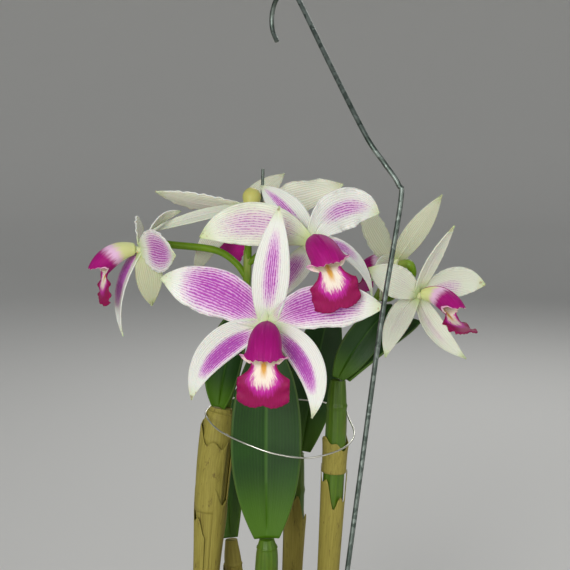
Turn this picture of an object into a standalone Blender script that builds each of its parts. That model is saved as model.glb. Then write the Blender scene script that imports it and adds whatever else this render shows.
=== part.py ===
"""A cattleya orchid in bloom, growing in bark in a terracotta pot, with a wire hanger.

Metres, +Z up, origin under the middle of the pot's foot. The front of the plant faces -Y.
Sizes and places are given in millimetres and angles in degrees; MM turns them into metres.
"""

import math

import bmesh
import bpy
import numpy as np

MM = 0.001
GAP = 0.3

# Pot and bark
POT_HEIGHT = 112.0
POT_TOP_RADIUS = 70.0
POT_FOOT_RADIUS = 47.0
POT_WALL = 6.0
POT_INNER_TOP = 65.0
POT_EDGE = 1.5
COLLAR_HEIGHT = 22.0
COLLAR_STEP = 4.0
FLOOR = 8.0
DRAIN_RADIUS = 4.5
DRAIN_CIRCLE = 24.0
DRAINS = 3
POT_SIDES = 28
BARK_TOP = 100.0
BARK_RELIEF = 1.8
BARK_CLEAR = 0.5
BARK_EDGE = 3.0
BARK_RINGS = (0.94, 0.66, 0.33)

# Hanger wire, stake and tie
HANGER_RADIUS = 1.15
STAKE_RADIUS = 0.8
TIE_RADIUS = 0.4

# Flower parts, for a bloom of size 1
TEPAL_THICKNESS = 0.9
LIP_THICKNESS = 0.8
LEAF_THICKNESS = 1.2
TIP_WIDTH = 0.7
CORE_RADIUS = 4.0
CORE_DEPTH = 2.4
CORE_BACK = 1.0
BLADE_START = 1.2
PETAL_LIFT = 1.0
TEPAL_GRID = (7, 4)
LEAF_GRID = (8, 4)

# Outline of each kind of blade: width at the base, place of the widest point, and how it narrows
OUTLINES = {
    "sepal": {"base": 0.42, "widest": 0.42, "power": 1.9, "point": 1.0},
    "lateral": {"base": 0.42, "widest": 0.40, "power": 1.9, "point": 1.0},
    "petal": {"base": 0.22, "widest": 0.52, "power": 2.1, "point": 0.95},
    "leaf": {"base": 0.36, "widest": 0.46, "power": 2.4, "point": 0.8},
}

# The lip: its roll about the column, and the apron that hangs from the roll's floor
LIP_START = 3.8
LIP_CLEAR = 0.7
LIP_RISE = 12.0
LIP_FALL = -48.0
LIP_TUBE = 24.5
LIP_APRON = 20.0
LIP_HALF_WIDTH = 11.5
LIP_OVERHANG = 2.6
LIP_CLOSED = 176.0
LIP_JOINT = 52.0
LIP_EGG = 0.7 * math.pi
LOBE_START = 0.7
LOBE_FLARE = 2.8
LOBE_BACK = 1.2
LOBE_ANGLE = 78.0
LOBE_SPREAD = 19.0
APRON_ROUND = 0.16
APRON_NOTCH = 0.07
APRON_OPENS = 0.36
APRON_FULL = 0.4
THROAT_START = (3.2, 3.2)
THROAT_END = (7.7, 7.0)
ROLL_ROWS = 5
ROLL_COLUMNS = 14
APRON_ROWS = 5
APRON_COLUMNS = 6
COLUMN_LENGTH = 0.62
COLUMN_RADIUS = 1.9


def tepal(kind, turn, length, width, pitch, yaw, **more):
    """One sepal or petal: turn about the flower's axis, then how its midrib bends on its way out."""
    return {"kind": kind, "turn": turn, "length": length, "width": width, "pitch": pitch, "yaw": yaw, **more}


# Each bloom: its centre, its facing (azimuth, elevation, roll), how its lip hangs and nods, and its five tepals
BLOOMS = {
    "a": {
        "at": (-8, -45, 281), "facing": (-2, -6, 2), "size": 1.0, "hang": -94, "nod": 0,
        "tepals": [
            tepal("sepal", 1.5, 55, 17, (11, -20), 5, cup=0.35),
            tepal("petal", 54, 54, 21, (5, -14), 50, wave=1.1, skew=0.08),
            tepal("petal", -47.5, 54, 23, (0, -14), -43.5, wave=1.2, skew=-0.1),
            tepal("lateral", 104, 50, 14.5, (18, 2), 94),
            tepal("lateral", -97, 51, 15.5, (8, 2), -79),
        ],
    },
    "b": {
        "at": (11.8, -34, 317.8), "facing": (14, 0, -14), "size": 0.95, "hang": -92, "nod": 0,
        "tepals": [
            tepal("sepal", -12, 42, 15, (-34, -24), -17),
            tepal("petal", 40, 46, 20, (-26, 14), 94, wave=1.0),
            tepal("petal", -40, 53, 20, (-4, -5), -66, wave=1.0),
            tepal("lateral", 104, 42, 13, (-9, 20), 84, twist=55),
            tepal("lateral", -150, 44, 14, (-52, 20), 4),
        ],
    },
    "c": {
        "at": (-19, 24, 331), "facing": (180, -34, -40), "size": 0.75, "hang": -40, "nod": 0,
        "tepals": [
            tepal("sepal", 18, 42, 13, (30, 0), -17),
            tepal("petal", 132, 47, 15, (0, -10), -20, twist=86),
            tepal("petal", -41, 49, 18, (-7, -4), 2, wave=1.2),
            tepal("lateral", 157, 57, 9.5, (-27, 66), -27, twist=155),
            tepal("lateral", 165, 46, 13.5, (6, 28), 33, twist=48),
        ],
    },
    "d": {
        "at": (-71, 4, 311.5), "facing": (-66, -8, 0), "size": 0.82, "hang": -80, "nod": 0,
        "tepals": [
            tepal("sepal", 4.5, 29, 10, (-35, -50), -57, twist=9),
            tepal("petal", 86, 42, 21, (-6, 0), 8),
            tepal("petal", -78, 40, 20, (-19, -4), -10),
            tepal("lateral", 131, 42, 14, (5, 15), -19, twist=-120),
            tepal("lateral", -167, 46, 14, (47, -54), -17),
        ],
    },
    "e": {
        "at": (67, 14, 287), "facing": (46, -20, 6), "size": 0.82, "hang": -20, "nod": 22,
        "tepals": [
            tepal("sepal", -16, 42, 13, (8, 9), 16),
            tepal("petal", 60, 44, 16, (2, 22), 34, twist=20),
            tepal("petal", -71, 40, 16, (-5, -13), -6),
            tepal("lateral", 146, 46, 12, (18, 25), -31, cup=0.5),
            tepal("lateral", -142, 36, 13, (-5, 30), -22, twist=-42),
        ],
    },
    "f": {
        "at": (58, 36, 300), "facing": (-130, 0, 0), "size": 0.7, "hang": -50, "nod": 0,
        "tepals": [
            tepal("sepal", 6, 46, 13, (-40, 4), -8, twist=40),
            tepal("petal", 47, 42, 17, (-4, 16), -14),
            tepal("petal", -93, 38, 17, (22, 0), -30),
            tepal("lateral", 86, 36, 12, (-12, -6), 24),
            tepal("lateral", 122, 27, 10, (-15, 8), 12),
        ],
    },
}

# Canes, as stations (x, y, z, radius) from the bark up
CANES = {
    "cane_left": [(-43, 2, 78, 3.6), (-42.5, 2, 110, 4.6), (-40, 2, 150, 6.0), (-36.5, 3, 195, 7.8),
                  (-33.5, 3.5, 222, 7.6), (-32, 4, 231, 5.4)],
    "cane_middle": [(-11, -12, 78, 3.6), (-11, -12, 104, 4.4), (-10, -13, 135, 5.6), (-9, -14, 160, 5.4),
                    (-9, -14.5, 169, 3.6)],
    "cane_right": [(20, 13, 78, 3.4), (21, 13, 110, 4.2), (24, 12, 170, 5.2), (26, 12, 215, 5.4),
                   (26.5, 12, 234, 4.8), (27, 12.5, 243, 3.8)],
    "cane_back": [(2, 34, 78, 3.4), (3, 34, 110, 4.2), (5, 33, 160, 4.8), (6, 32.5, 193, 4.2), (6, 32.5, 200, 3.2)],
    "cane_old": [(-24, 30, 78, 3.2), (-25, 31, 110, 4.0), (-28, 33, 136, 4.6), (-29, 34, 150, 3.2)],
    "shoot_new": [(36, -18, 80, 3.0), (37, -19, 106, 4.2), (39, -21, 122, 3.2), (40, -22, 134, 0.8)],
}

# Leaves: where each one starts, its facing, and how its blade bends
LEAVES = {
    "leaf_left": {"at": (-33, 0.5, 231.6), "facing": (-20, -8, 0), "blade": tepal(
        "leaf", 10, 54, 21, (2, -16), 10, cup=0.9)},
    "leaf_middle": {"at": (-9, -14.5, 168.8), "facing": (2, 3, 0), "blade": tepal(
        "leaf", -1, 102, 35, (2, -4), 3, cup=0.35)},
    "leaf_right": {"at": (26.5, 9.6, 244.1), "facing": (4, -4, 0), "blade": tepal(
        "leaf", 26, 47, 18, (0, -20), 24, cup=0.5)},
    "leaf_right_arm": {"at": (30.5, 13, 242.9), "facing": (14, 10, 0), "blade": tepal(
        "leaf", 34, 52, 15, (2, -6), 46, cup=0.6, twist=28)},
    "leaf_back": {"at": (9, 30.6, 199.9), "facing": (0, 0, 0), "blade": tepal(
        "leaf", 8, 84, 25, (0, -12), 6, cup=0.4)},
    "leaf_back_left": {"at": (3.5, 35, 199.7), "facing": (-12, -4, 0), "blade": tepal(
        "leaf", -12, 80, 25, (-12, -10), -8, cup=0.4)},
    "leaf_old": {"at": (-29, 34.5, 150.3), "facing": (-30, 0, 0), "blade": tepal(
        "leaf", -16, 92, 26, (-14, -40), -10, cup=0.4)},
}
LEAF_START = 0.6

# Flower stems, as stations from the cane's top to the node, then to the back of each bloom
STEM_LEFT = [(-29.5, 7.5, 230.85, 2.3), (-24, 8, 262, 2.1), (-19.5, 8, 290, 2.0), (-18.5, 8, 310, 1.9)]
STEM_RIGHT = [(26, 15.4, 244.2, 2.2), (34, 23, 259, 2.0), (46, 33, 278, 1.9), (51, 37, 287, 1.8)]
BRANCHES_LEFT = {
    "a": [(-19, 8, 286, 1.7), (-14, -4, 289, 1.6), (-9, -22, 285, 1.9)],
    "b": [(-18.6, 8, 303, 1.7), (-9, 5, 311, 1.6), (3, -4, 316, 1.9)],
    "c": [(-18.5, 8, 306, 1.9), (-18, 7, 320, 1.8), (-17.5, 9, 331.0, 3.0), (-16.6, 11.5, 336.4, 4.6)],
    "d": [(-19, 8, 296, 1.7), (-25, 9, 304, 1.7), (-35, 9, 310, 1.8), (-54, 8, 312.5, 1.9)],
}
BRANCHES_RIGHT = {
    "e": [(49, 35.6, 282, 1.6), (54.5, 29.5, 282.5, 1.6)],
    "f": [(51, 37, 286, 1.6), (59, 35.5, 287, 1.5), (66.2, 31, 293.5, 1.6)],
}
OVARY_RADIUS = 2.0
OVARY_BACK = 6.0

# Hanger: over the rim at the front right, then up to a hook above the middle of the pot
HANGER_BEARING = -74.7
HANGER_PRONG = 61.4
HANGER_OUTSIDE = 71.5
HANGER_SHAFT = 75.6
HANGER_LOOP = 95.0
HANGER_TIP = 104.0
HANGER_CORNER = (2.0, 3.0)
HANGER_ROUTE = [(36, -60, 235), (43, -60, 291), (50, -60, 338), (49, -59.5, 346), (43, -58, 355), (35, -55, 367),
                (20, -32, 399)]
HOOK_CENTRE = (0.6, -1.7, 421.6)
HOOK_RADIUS = 13.0
HOOK_PLANE = (-0.542, 0.841)
HOOK_ARC = (140, -50)

STAKE = [(-13, 17, 80), (-12, 17, 300), (-11, 15, 350)]
TIE = [(-39.6, 3.7, 229), (-38, -8, 228), (-31, -20, 225), (-18, -28, 221), (-4, -31, 217), (12, -30, 215),
       (28, -18, 216), (34.5, -4, 219), (32.4, 10, 224), (30.8, 16, 226.5), (22, 20.5, 229), (4, 21, 231),
       (-18, 22, 232), (-34, 15, 231)]

# Surfaces: colour (red, green, blue, linear), roughness, metallic
FINISHES = {
    "tepal": ((0.80, 0.62, 0.78), 0.45, 0.0),
    "lip": ((0.55, 0.01, 0.26), 0.40, 0.0),
    "stem": ((0.16, 0.33, 0.04), 0.50, 0.0),
    "leaf": ((0.05, 0.14, 0.03), 0.40, 0.0),
    "cane": ((0.36, 0.28, 0.10), 0.60, 0.0),
    "green_cane": ((0.13, 0.24, 0.05), 0.50, 0.0),
    "bark": ((0.14, 0.07, 0.04), 0.90, 0.0),
    "terracotta": ((0.48, 0.17, 0.08), 0.80, 0.0),
    "wire": ((0.36, 0.39, 0.37), 0.45, 1.0),
}


def clear_scene():
    for thing in list(bpy.data.objects):
        bpy.data.objects.remove(thing)


def finish(name):
    """The material of that name, made once."""
    found = bpy.data.materials.get(name)
    if found:
        return found
    colour, roughness, metallic = FINISHES[name]
    material = bpy.data.materials.new(name)
    material.use_nodes = True
    shader = material.node_tree.nodes["Principled BSDF"]
    shader.inputs["Base Color"].default_value = (*colour, 1.0)
    shader.inputs["Roughness"].default_value = roughness
    shader.inputs["Metallic"].default_value = metallic
    return material


def place(name, mesh, surface):
    """Puts a mesh in the scene as one smooth-shaded piece with its own material."""
    piece = bpy.data.objects.new(name, mesh)
    bpy.context.scene.collection.objects.link(piece)
    mesh.materials.clear()
    mesh.materials.append(finish(surface))
    mesh.shade_smooth()
    mesh.set_sharp_from_angle(angle=math.radians(40))
    return piece


def mesh_from(shape, name):
    """Closes a bmesh into a mesh whose faces point outward."""
    bmesh.ops.recalc_face_normals(shape, faces=shape.faces)
    mesh = bpy.data.meshes.new(name)
    shape.to_mesh(mesh)
    shape.free()
    return mesh


def evaluated_mesh(piece, name):
    """The piece's mesh with its modifiers applied."""
    graph = bpy.context.evaluated_depsgraph_get()
    mesh = bpy.data.meshes.new_from_object(piece.evaluated_get(graph))
    mesh.name = name
    return mesh


def combine(base, others, operation):
    """Joins the others to the base, or cuts them from it, and removes them."""
    group = bpy.data.collections.new("tools")
    bpy.context.scene.collection.children.link(group)
    for other in others:
        group.objects.link(other)
    modifier = base.modifiers.new("combine", "BOOLEAN")
    modifier.operation = operation
    modifier.operand_type = "COLLECTION"
    modifier.collection = group
    bpy.context.view_layer.update()
    combined = evaluated_mesh(base, base.name)
    base.modifiers.clear()
    base.data = combined
    combined.set_sharp_from_angle(angle=math.radians(40))
    for other in others:
        bpy.data.objects.remove(other)
    bpy.data.collections.remove(group)
    return base


def smooth_route(stations, steps, closed=False):
    """Points on a smooth curve through all the stations, each with as many values as a station."""
    rows = np.array(stations, float)
    count = len(rows)
    if closed:
        padded = np.vstack([rows[-1], rows, rows[:2]])
    else:
        padded = np.vstack([2 * rows[0] - rows[1], rows, 2 * rows[-1] - rows[-2]])
    points = []
    for i in range(count if closed else count - 1):
        before, start, end, after = padded[i:i + 4]
        for k in range(steps):
            t = k / steps
            points.append(0.5 * (2 * start + (end - before) * t
                                 + (2 * before - 5 * start + 4 * end - after) * t ** 2
                                 + (3 * start - before - 3 * end + after) * t ** 3))
    if not closed:
        points.append(rows[-1])
    return np.array(points)


def sweep(name, stations, surface, steps=3, sides=8, closed=False):
    """A round stem along the stations (x, y, z, radius)."""
    points = smooth_route(stations, steps, closed)
    curve = bpy.data.curves.new(name, "CURVE")
    curve.dimensions = "3D"
    curve.bevel_depth = MM
    curve.bevel_resolution = (sides - 4) // 2
    curve.use_fill_caps = True
    spline = curve.splines.new("POLY")
    spline.points.add(len(points) - 1)
    spline.use_cyclic_u = closed
    for target, (x, y, z, radius) in zip(spline.points, points):
        target.co = (x * MM, y * MM, z * MM, 1.0)
        target.radius = radius
    route = bpy.data.objects.new(name + "_route", curve)
    bpy.context.scene.collection.objects.link(route)
    bpy.context.view_layer.update()
    shape = bmesh.new()
    shape.from_mesh(evaluated_mesh(route, name))
    bpy.data.objects.remove(route)
    bmesh.ops.remove_doubles(shape, verts=shape.verts, dist=1e-6)
    return place(name, mesh_from(shape, name), surface)


def axes_of(facing):
    """Forward, up and right of a flower that faces that way (azimuth, elevation, roll)."""
    azimuth, elevation, roll = (math.radians(angle) for angle in facing)
    forward = np.array([math.sin(azimuth) * math.cos(elevation),
                        -math.cos(azimuth) * math.cos(elevation), math.sin(elevation)])
    upright = np.array([-math.sin(azimuth) * math.sin(elevation),
                        math.cos(azimuth) * math.sin(elevation), math.cos(elevation)])
    across = np.cross(upright, forward)
    up = upright * math.cos(roll) + across * math.sin(roll)
    right = across * math.cos(roll) - upright * math.sin(roll)
    return forward, up, right


def nodded(axes, angle):
    """The axes turned up by an angle about their right; a lip stands so against its flower."""
    forward, up, right = axes
    turn = math.radians(angle)
    return forward * math.cos(turn) + up * math.sin(turn), up * math.cos(turn) - forward * math.sin(turn), right


def half_width(along, width, base, widest, power, point):
    """Half the width of a blade at each place along it, from 0 at its base to 1 at its tip."""
    rising = base + (1 - base) * (1 - (1 - np.clip(along / widest, 0, 1)) ** 2)
    narrowing = np.clip(1 - np.clip((along - widest) / (1 - widest), 0, 1) ** power, 0, 1) ** point
    share = np.where(along < widest, rising, narrowing)
    return np.maximum(width / 2 * share, TIP_WIDTH / 2)


def midrib(start, axes, blade):
    """Directions and places along a blade's midrib, at even steps from base to tip."""
    forward, up, right = axes
    turn = math.radians(blade["turn"])
    outward = up * math.cos(turn) + right * math.sin(turn)
    sideways = right * math.cos(turn) - up * math.sin(turn)
    steps = 96
    along = (np.arange(steps) + 0.5) / steps
    pitch = np.radians(blade["pitch"][0] + blade["pitch"][1] * along)
    yaw = np.radians(blade["yaw"] * along)
    heading = (np.outer(np.cos(pitch) * np.cos(yaw), outward) + np.outer(np.cos(pitch) * np.sin(yaw), sideways)
               + np.outer(np.sin(pitch), forward))
    places = np.vstack([np.zeros(3), np.cumsum(heading, axis=0)]) * blade["length"] / steps
    return outward, sideways, np.array(start) + places


def blade_surface(start, axes, blade, offset, lift=0.0):
    """A function from (along, across) to points on one tepal or leaf; across runs from -1 to 1."""
    forward = axes[0]
    outward, sideways, places = midrib(start, axes, blade)
    outline = dict(OUTLINES[blade["kind"]])
    widest = outline.pop("widest")
    cup, wave, skew = blade.get("cup", 0.25), blade.get("wave", 0.0), blade.get("skew", 0.0)

    def surface(along, across):
        line = np.stack([np.interp(along, np.linspace(0, 1, len(places)), places[:, i]) for i in range(3)], -1)
        pitch = np.radians(blade["pitch"][0] + blade["pitch"][1] * along)[:, None]
        yaw = np.radians(blade["yaw"] * along)[:, None]
        ahead = (np.cos(pitch) * (np.cos(yaw) * outward + np.sin(yaw) * sideways) + np.sin(pitch) * forward)
        side = np.cos(yaw) * sideways - np.sin(yaw) * outward
        face = np.cross(side, ahead)
        twist = math.radians(blade.get("twist", 0.0))
        side, face = (side * math.cos(twist) + face * math.sin(twist),
                      face * math.cos(twist) - side * math.sin(twist))
        half = np.where(across > 0, half_width(along, blade["width"], widest=widest + skew, **outline),
                        half_width(along, blade["width"], widest=widest - skew, **outline))
        sway = np.sin(2 * math.pi * (3 * along + 0.31 * np.sign(across))) * np.sqrt(np.sin(math.pi * along))
        out = half * np.sin(cup * across) / cup
        rise = half * (1 - np.cos(cup * across)) / cup + wave * np.abs(across) ** 3 * sway
        start_shift = offset * outward + lift * forward
        return line + start_shift + out[:, None] * side + rise[:, None] * face

    return surface


def map_grid(shape, rows, columns, surface):
    """Adds a flat grid to the bmesh and moves its points onto the surface."""
    made = bmesh.ops.create_grid(shape, x_segments=rows, y_segments=columns, size=0.5)["verts"]
    flat = np.array([vertex.co for vertex in made])
    along = np.clip(flat[:, 0] + 0.5, 0, 1)
    across = np.clip(2 * flat[:, 1], -1, 1)
    for vertex, point in zip(made, surface(along, across) * MM):
        vertex.co = point


def sheet(name, grids, thickness, surface):
    """A thin closed piece: the grids, joined where they meet and thickened to both sides."""
    shape = bmesh.new()
    for rows, columns, mapping in grids:
        map_grid(shape, rows, columns, mapping)
    bmesh.ops.remove_doubles(shape, verts=shape.verts, dist=1e-6)
    bmesh.ops.triangulate(shape, faces=shape.faces, quad_method="FIXED")
    mesh = bpy.data.meshes.new(name)
    shape.to_mesh(mesh)
    shape.free()
    piece = place(name, mesh, surface)
    solid = piece.modifiers.new("thickness", "SOLIDIFY")
    solid.thickness = thickness * MM
    solid.offset = 0.0
    thick = evaluated_mesh(piece, name)
    bpy.data.objects.remove(piece)
    shape = bmesh.new()
    shape.from_mesh(thick)
    return place(name, mesh_from(shape, name), surface)


def lip_axis(along, size):
    """Distance forward, height and angle of the lip roll's axis, from its base at 0 to its mouth at 1."""
    steps = 64
    middles = (np.arange(steps) + 0.5) / steps
    angle = np.radians(LIP_RISE + (LIP_FALL - LIP_RISE) * middles)
    ahead = np.append(0, np.cumsum(np.cos(angle))) * LIP_TUBE * size / steps + LIP_START * size + LIP_CLEAR
    height = np.append(0, np.cumsum(np.sin(angle))) * LIP_TUBE * size / steps
    ends = np.linspace(0, 1, steps + 1)
    here = np.radians(LIP_RISE + (LIP_FALL - LIP_RISE) * along)
    return np.interp(along, ends, ahead), np.interp(along, ends, height), here


def throat(along, size):
    """Half the width and half the height of the roll."""
    return [size * (start + (end - start) * np.sin(LIP_EGG * along))
            for start, end in zip(THROAT_START, THROAT_END)]


def roll_surface(bloom, axes):
    """The rolled part of the lip, with its side lobes closed over the column and curled out at the mouth."""
    forward, up, right = axes
    size = bloom["size"]

    def surface(along, across):
        split = APRON_COLUMNS / ROLL_COLUMNS
        inner = LIP_JOINT * np.clip(np.abs(across) / split, 0, 1)
        outer = (LIP_CLOSED - LIP_JOINT) * np.clip((np.abs(across) - split) / (1 - split), 0, 1)
        angle = np.radians(np.sign(across) * (inner + outer))
        ahead, height, slope = lip_axis(along, size)
        wide, tall = throat(along, size)
        opened = np.clip((along - LOBE_START) / (1 - LOBE_START), 0, 1) ** 2 * np.clip(outer / 20, 0, 1)
        curled = size * opened * np.exp(-((inner + outer - LOBE_ANGLE) / LOBE_SPREAD) ** 2)
        flare = LOBE_FLARE * curled
        shift = along ** 1.3 * LIP_OVERHANG * size * (1 - np.cos(angle)) / 2 - LOBE_BACK * curled
        drop = -(tall + 0.3 * flare) * np.cos(angle)
        a = ahead + shift * np.cos(slope) - drop * np.sin(slope)
        b = height + shift * np.sin(slope) + drop * np.cos(slope)
        c = (wide + flare) * np.sin(angle)
        return np.array(bloom["at"]) + np.outer(a, forward) + np.outer(b, up) + np.outer(c, right)

    return surface


def apron_surface(bloom, axes):
    """The broad front lobe: it carries on from the roll's floor, bends down and ends in a notch."""
    forward, up, right = axes
    size = bloom["size"]
    hang = bloom["hang"]
    ahead, height, slope = (value[0] for value in lip_axis(np.ones(1), size))
    wide, tall = (value[0] for value in throat(np.ones(1), size))
    joint = math.radians(LIP_JOINT)

    def bend(share):
        return np.radians(LIP_FALL + (hang - LIP_FALL) * np.clip(share / 0.6, 0, 1) ** 0.9)

    steps = 64
    middles = (np.arange(steps) + 0.5) / steps
    length = LIP_APRON * size / steps
    run_a = np.append(0, np.cumsum(np.cos(bend(middles)))) * length
    run_b = np.append(0, np.cumsum(np.sin(bend(middles)))) * length

    def surface(along, across):
        notch = APRON_NOTCH * np.exp(-(across / 0.22) ** 2)
        reach = along * (1 - APRON_ROUND * np.abs(across) ** 3 - notch)
        ends = np.linspace(0, 1, steps + 1)
        floor_a = ahead + tall * math.sin(slope) + np.interp(reach, ends, run_a)
        floor_b = height - tall * math.cos(slope) + np.interp(reach, ends, run_b)
        blend = np.clip(along / APRON_OPENS, 0, 1)
        start = wide * np.sin(across * joint)
        spread = wide * math.sin(joint)
        full = spread + (LIP_HALF_WIDTH * size - spread) * np.sin(math.pi / 2 * np.clip(along / APRON_FULL, 0, 1))
        c = start * (1 - blend) + across * full * blend
        lift = tall * (1 - np.cos(across * joint)) * (1 - blend) ** 2 - 0.16 * full * across ** 2 * along
        ruffle = size * np.abs(across) ** 4 * np.sin(5 * math.pi * along) * np.clip(3 * along, 0, 1)
        over = LIP_OVERHANG * size * (1 - np.cos(across * joint)) / 2 * (1 - blend)
        a = floor_a + over * math.cos(slope) - (lift + ruffle) * np.sin(bend(reach))
        b = floor_b + over * math.sin(slope) + (lift + ruffle) * np.cos(bend(reach))
        return np.array(bloom["at"]) + np.outer(a, forward) + np.outer(b, up) + np.outer(c, right)

    return surface


def receptacle(name, bloom, axes):
    """The small core that the tepals and the column grow from."""
    forward, up, right = axes
    size = bloom["size"]
    shape = bmesh.new()
    bmesh.ops.create_uvsphere(shape, u_segments=10, v_segments=6, radius=size)
    for vertex in shape.verts:
        x, y, z = vertex.co
        point = (np.array(bloom["at"]) + (CORE_DEPTH * z - CORE_BACK * size) * forward
                 + CORE_RADIUS * (x * right + y * up))
        vertex.co = point * MM
    return place(name, mesh_from(shape, name), "tepal")


def column(name, bloom, axes):
    """The column, which runs from the core along the middle of the lip's roll."""
    forward, up, _ = axes
    size = bloom["size"]
    foot = THROAT_START[0] * size - LIP_THICKNESS / 2 - 2 * GAP
    waist = min(COLUMN_RADIUS * size, foot)
    stations = []
    for share, radius in ((0.0, foot), (0.35, waist), (0.7, waist), (1.0, foot)):
        ahead, height, slope = (value[0] for value in lip_axis(np.array([share * COLUMN_LENGTH]), size))
        if not stations:
            root_a, root_b = ahead - 4 * size * math.cos(slope), height - 4 * size * math.sin(slope)
            stations.append((*(np.array(bloom["at"]) + root_a * forward + root_b * up), waist))
        stations.append((*(np.array(bloom["at"]) + ahead * forward + height * up), radius))
    return sweep(name, stations, "tepal", steps=1)


def bloom_tepals(letter, bloom):
    """Five tepals, the core and the column, grown together."""
    axes = axes_of(bloom["facing"])
    name = f"bloom_{letter}_tepals"
    base = receptacle(name, bloom, axes)
    parts = [column(name + "_column", bloom, nodded(axes, bloom["nod"]))]
    for number, blade in enumerate(bloom["tepals"]):
        lift = PETAL_LIFT * bloom["size"] if blade["kind"] == "petal" else 0.0
        surface = blade_surface(bloom["at"], axes, blade, BLADE_START * bloom["size"], lift)
        parts.append(sheet(f"{name}_{number}", [(*TEPAL_GRID, surface)], TEPAL_THICKNESS, "tepal"))
    return combine(base, parts, "UNION")


def bloom_lip(letter, bloom):
    axes = nodded(axes_of(bloom["facing"]), bloom["nod"])
    grids = [(ROLL_ROWS, ROLL_COLUMNS, roll_surface(bloom, axes)),
             (APRON_ROWS, APRON_COLUMNS, apron_surface(bloom, axes))]
    return sheet(f"bloom_{letter}_lip", grids, LIP_THICKNESS, "lip")


def leaves():
    for name, leaf in LEAVES.items():
        surface = blade_surface(leaf["at"], axes_of(leaf["facing"]), leaf["blade"], LEAF_START)
        sheet(name, [(*LEAF_GRID, surface)], LEAF_THICKNESS, "leaf")


def canes():
    for name, stations in CANES.items():
        sweep(name, stations, "cane" if name in ("cane_left", "cane_old") else "green_cane", steps=2)


def flower_stem(name, stem, branches):
    """A flower stem with one stalk and ovary to each bloom, ending just behind the bloom's core."""
    parts = []
    for letter, stations in branches.items():
        bloom = BLOOMS[letter]
        forward = axes_of(bloom["facing"])[0]
        back = np.array(bloom["at"]) - ((CORE_BACK + CORE_DEPTH) * bloom["size"] + GAP) * forward
        ovary = [(*(back - OVARY_BACK * forward), OVARY_RADIUS + 0.3), (*back, OVARY_RADIUS)]
        parts.append(sweep(f"{name}_{letter}", stations + ovary, "stem", steps=2, sides=6))
    return combine(sweep(name, stem, "stem", steps=2), parts, "UNION")


def turned(name, profile, sides, surface):
    """A shape turned about Z from a profile of (radius, height) points that starts and ends on the axis."""
    shape = bmesh.new()
    corners = [shape.verts.new((radius * MM, 0.0, height * MM)) for radius, height in profile]
    edges = [shape.edges.new(pair) for pair in zip(corners, corners[1:])]
    bmesh.ops.spin(shape, geom=corners + edges, cent=(0, 0, 0), axis=(0, 0, 1), angle=2 * math.pi,
                   steps=sides, use_merge=True)
    bmesh.ops.remove_doubles(shape, verts=shape.verts, dist=1e-6)
    return place(name, mesh_from(shape, name), surface)


def wall_radius(height):
    """Outer radius of the pot's tapered wall at a height."""
    share = height / POT_HEIGHT
    return POT_FOOT_RADIUS + (POT_TOP_RADIUS - COLLAR_STEP - POT_FOOT_RADIUS) * share


def inner_radius(height):
    """Inner radius of the pot's wall at a height."""
    foot = wall_radius(FLOOR) - POT_WALL
    return foot + (POT_INNER_TOP - foot) * (height - FLOOR) / (POT_HEIGHT - POT_EDGE - FLOOR)


def pot():
    """A terracotta pot with a collar, and drain holes round the middle of its floor."""
    collar_foot = POT_HEIGHT - COLLAR_HEIGHT
    profile = [
        (0, 0), (POT_FOOT_RADIUS - POT_EDGE, 0), (POT_FOOT_RADIUS, POT_EDGE),
        (wall_radius(collar_foot), collar_foot), (POT_TOP_RADIUS - POT_EDGE, collar_foot + POT_EDGE / 2),
        (POT_TOP_RADIUS, collar_foot + 2 * POT_EDGE), (POT_TOP_RADIUS, POT_HEIGHT - POT_EDGE),
        (POT_TOP_RADIUS - POT_EDGE, POT_HEIGHT), (POT_INNER_TOP + POT_EDGE, POT_HEIGHT),
        (POT_INNER_TOP, POT_HEIGHT - POT_EDGE), (inner_radius(FLOOR), FLOOR), (0, FLOOR),
    ]
    drains = []
    for k in range(DRAINS):
        angle = math.radians(90) + 2 * math.pi * k / DRAINS
        x, y = DRAIN_CIRCLE * math.cos(angle), DRAIN_CIRCLE * math.sin(angle)
        drains.append(sweep(f"drain_{k}", [(x, y, -FLOOR, DRAIN_RADIUS), (x, y, 2 * FLOOR, DRAIN_RADIUS)],
                            "terracotta", steps=1, sides=12))
    return combine(turned("pot", profile, POT_SIDES, "terracotta"), drains, "DIFFERENCE")


def bark_height(x, y):
    """Height of the bark's lumpy top."""
    lumps = math.sin(x / 5.1 + 1.3) * math.cos(y / 4.3) + 0.6 * math.sin((x - y) / 7.7 + 0.4)
    return BARK_TOP + BARK_RELIEF * lumps / 1.6


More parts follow.
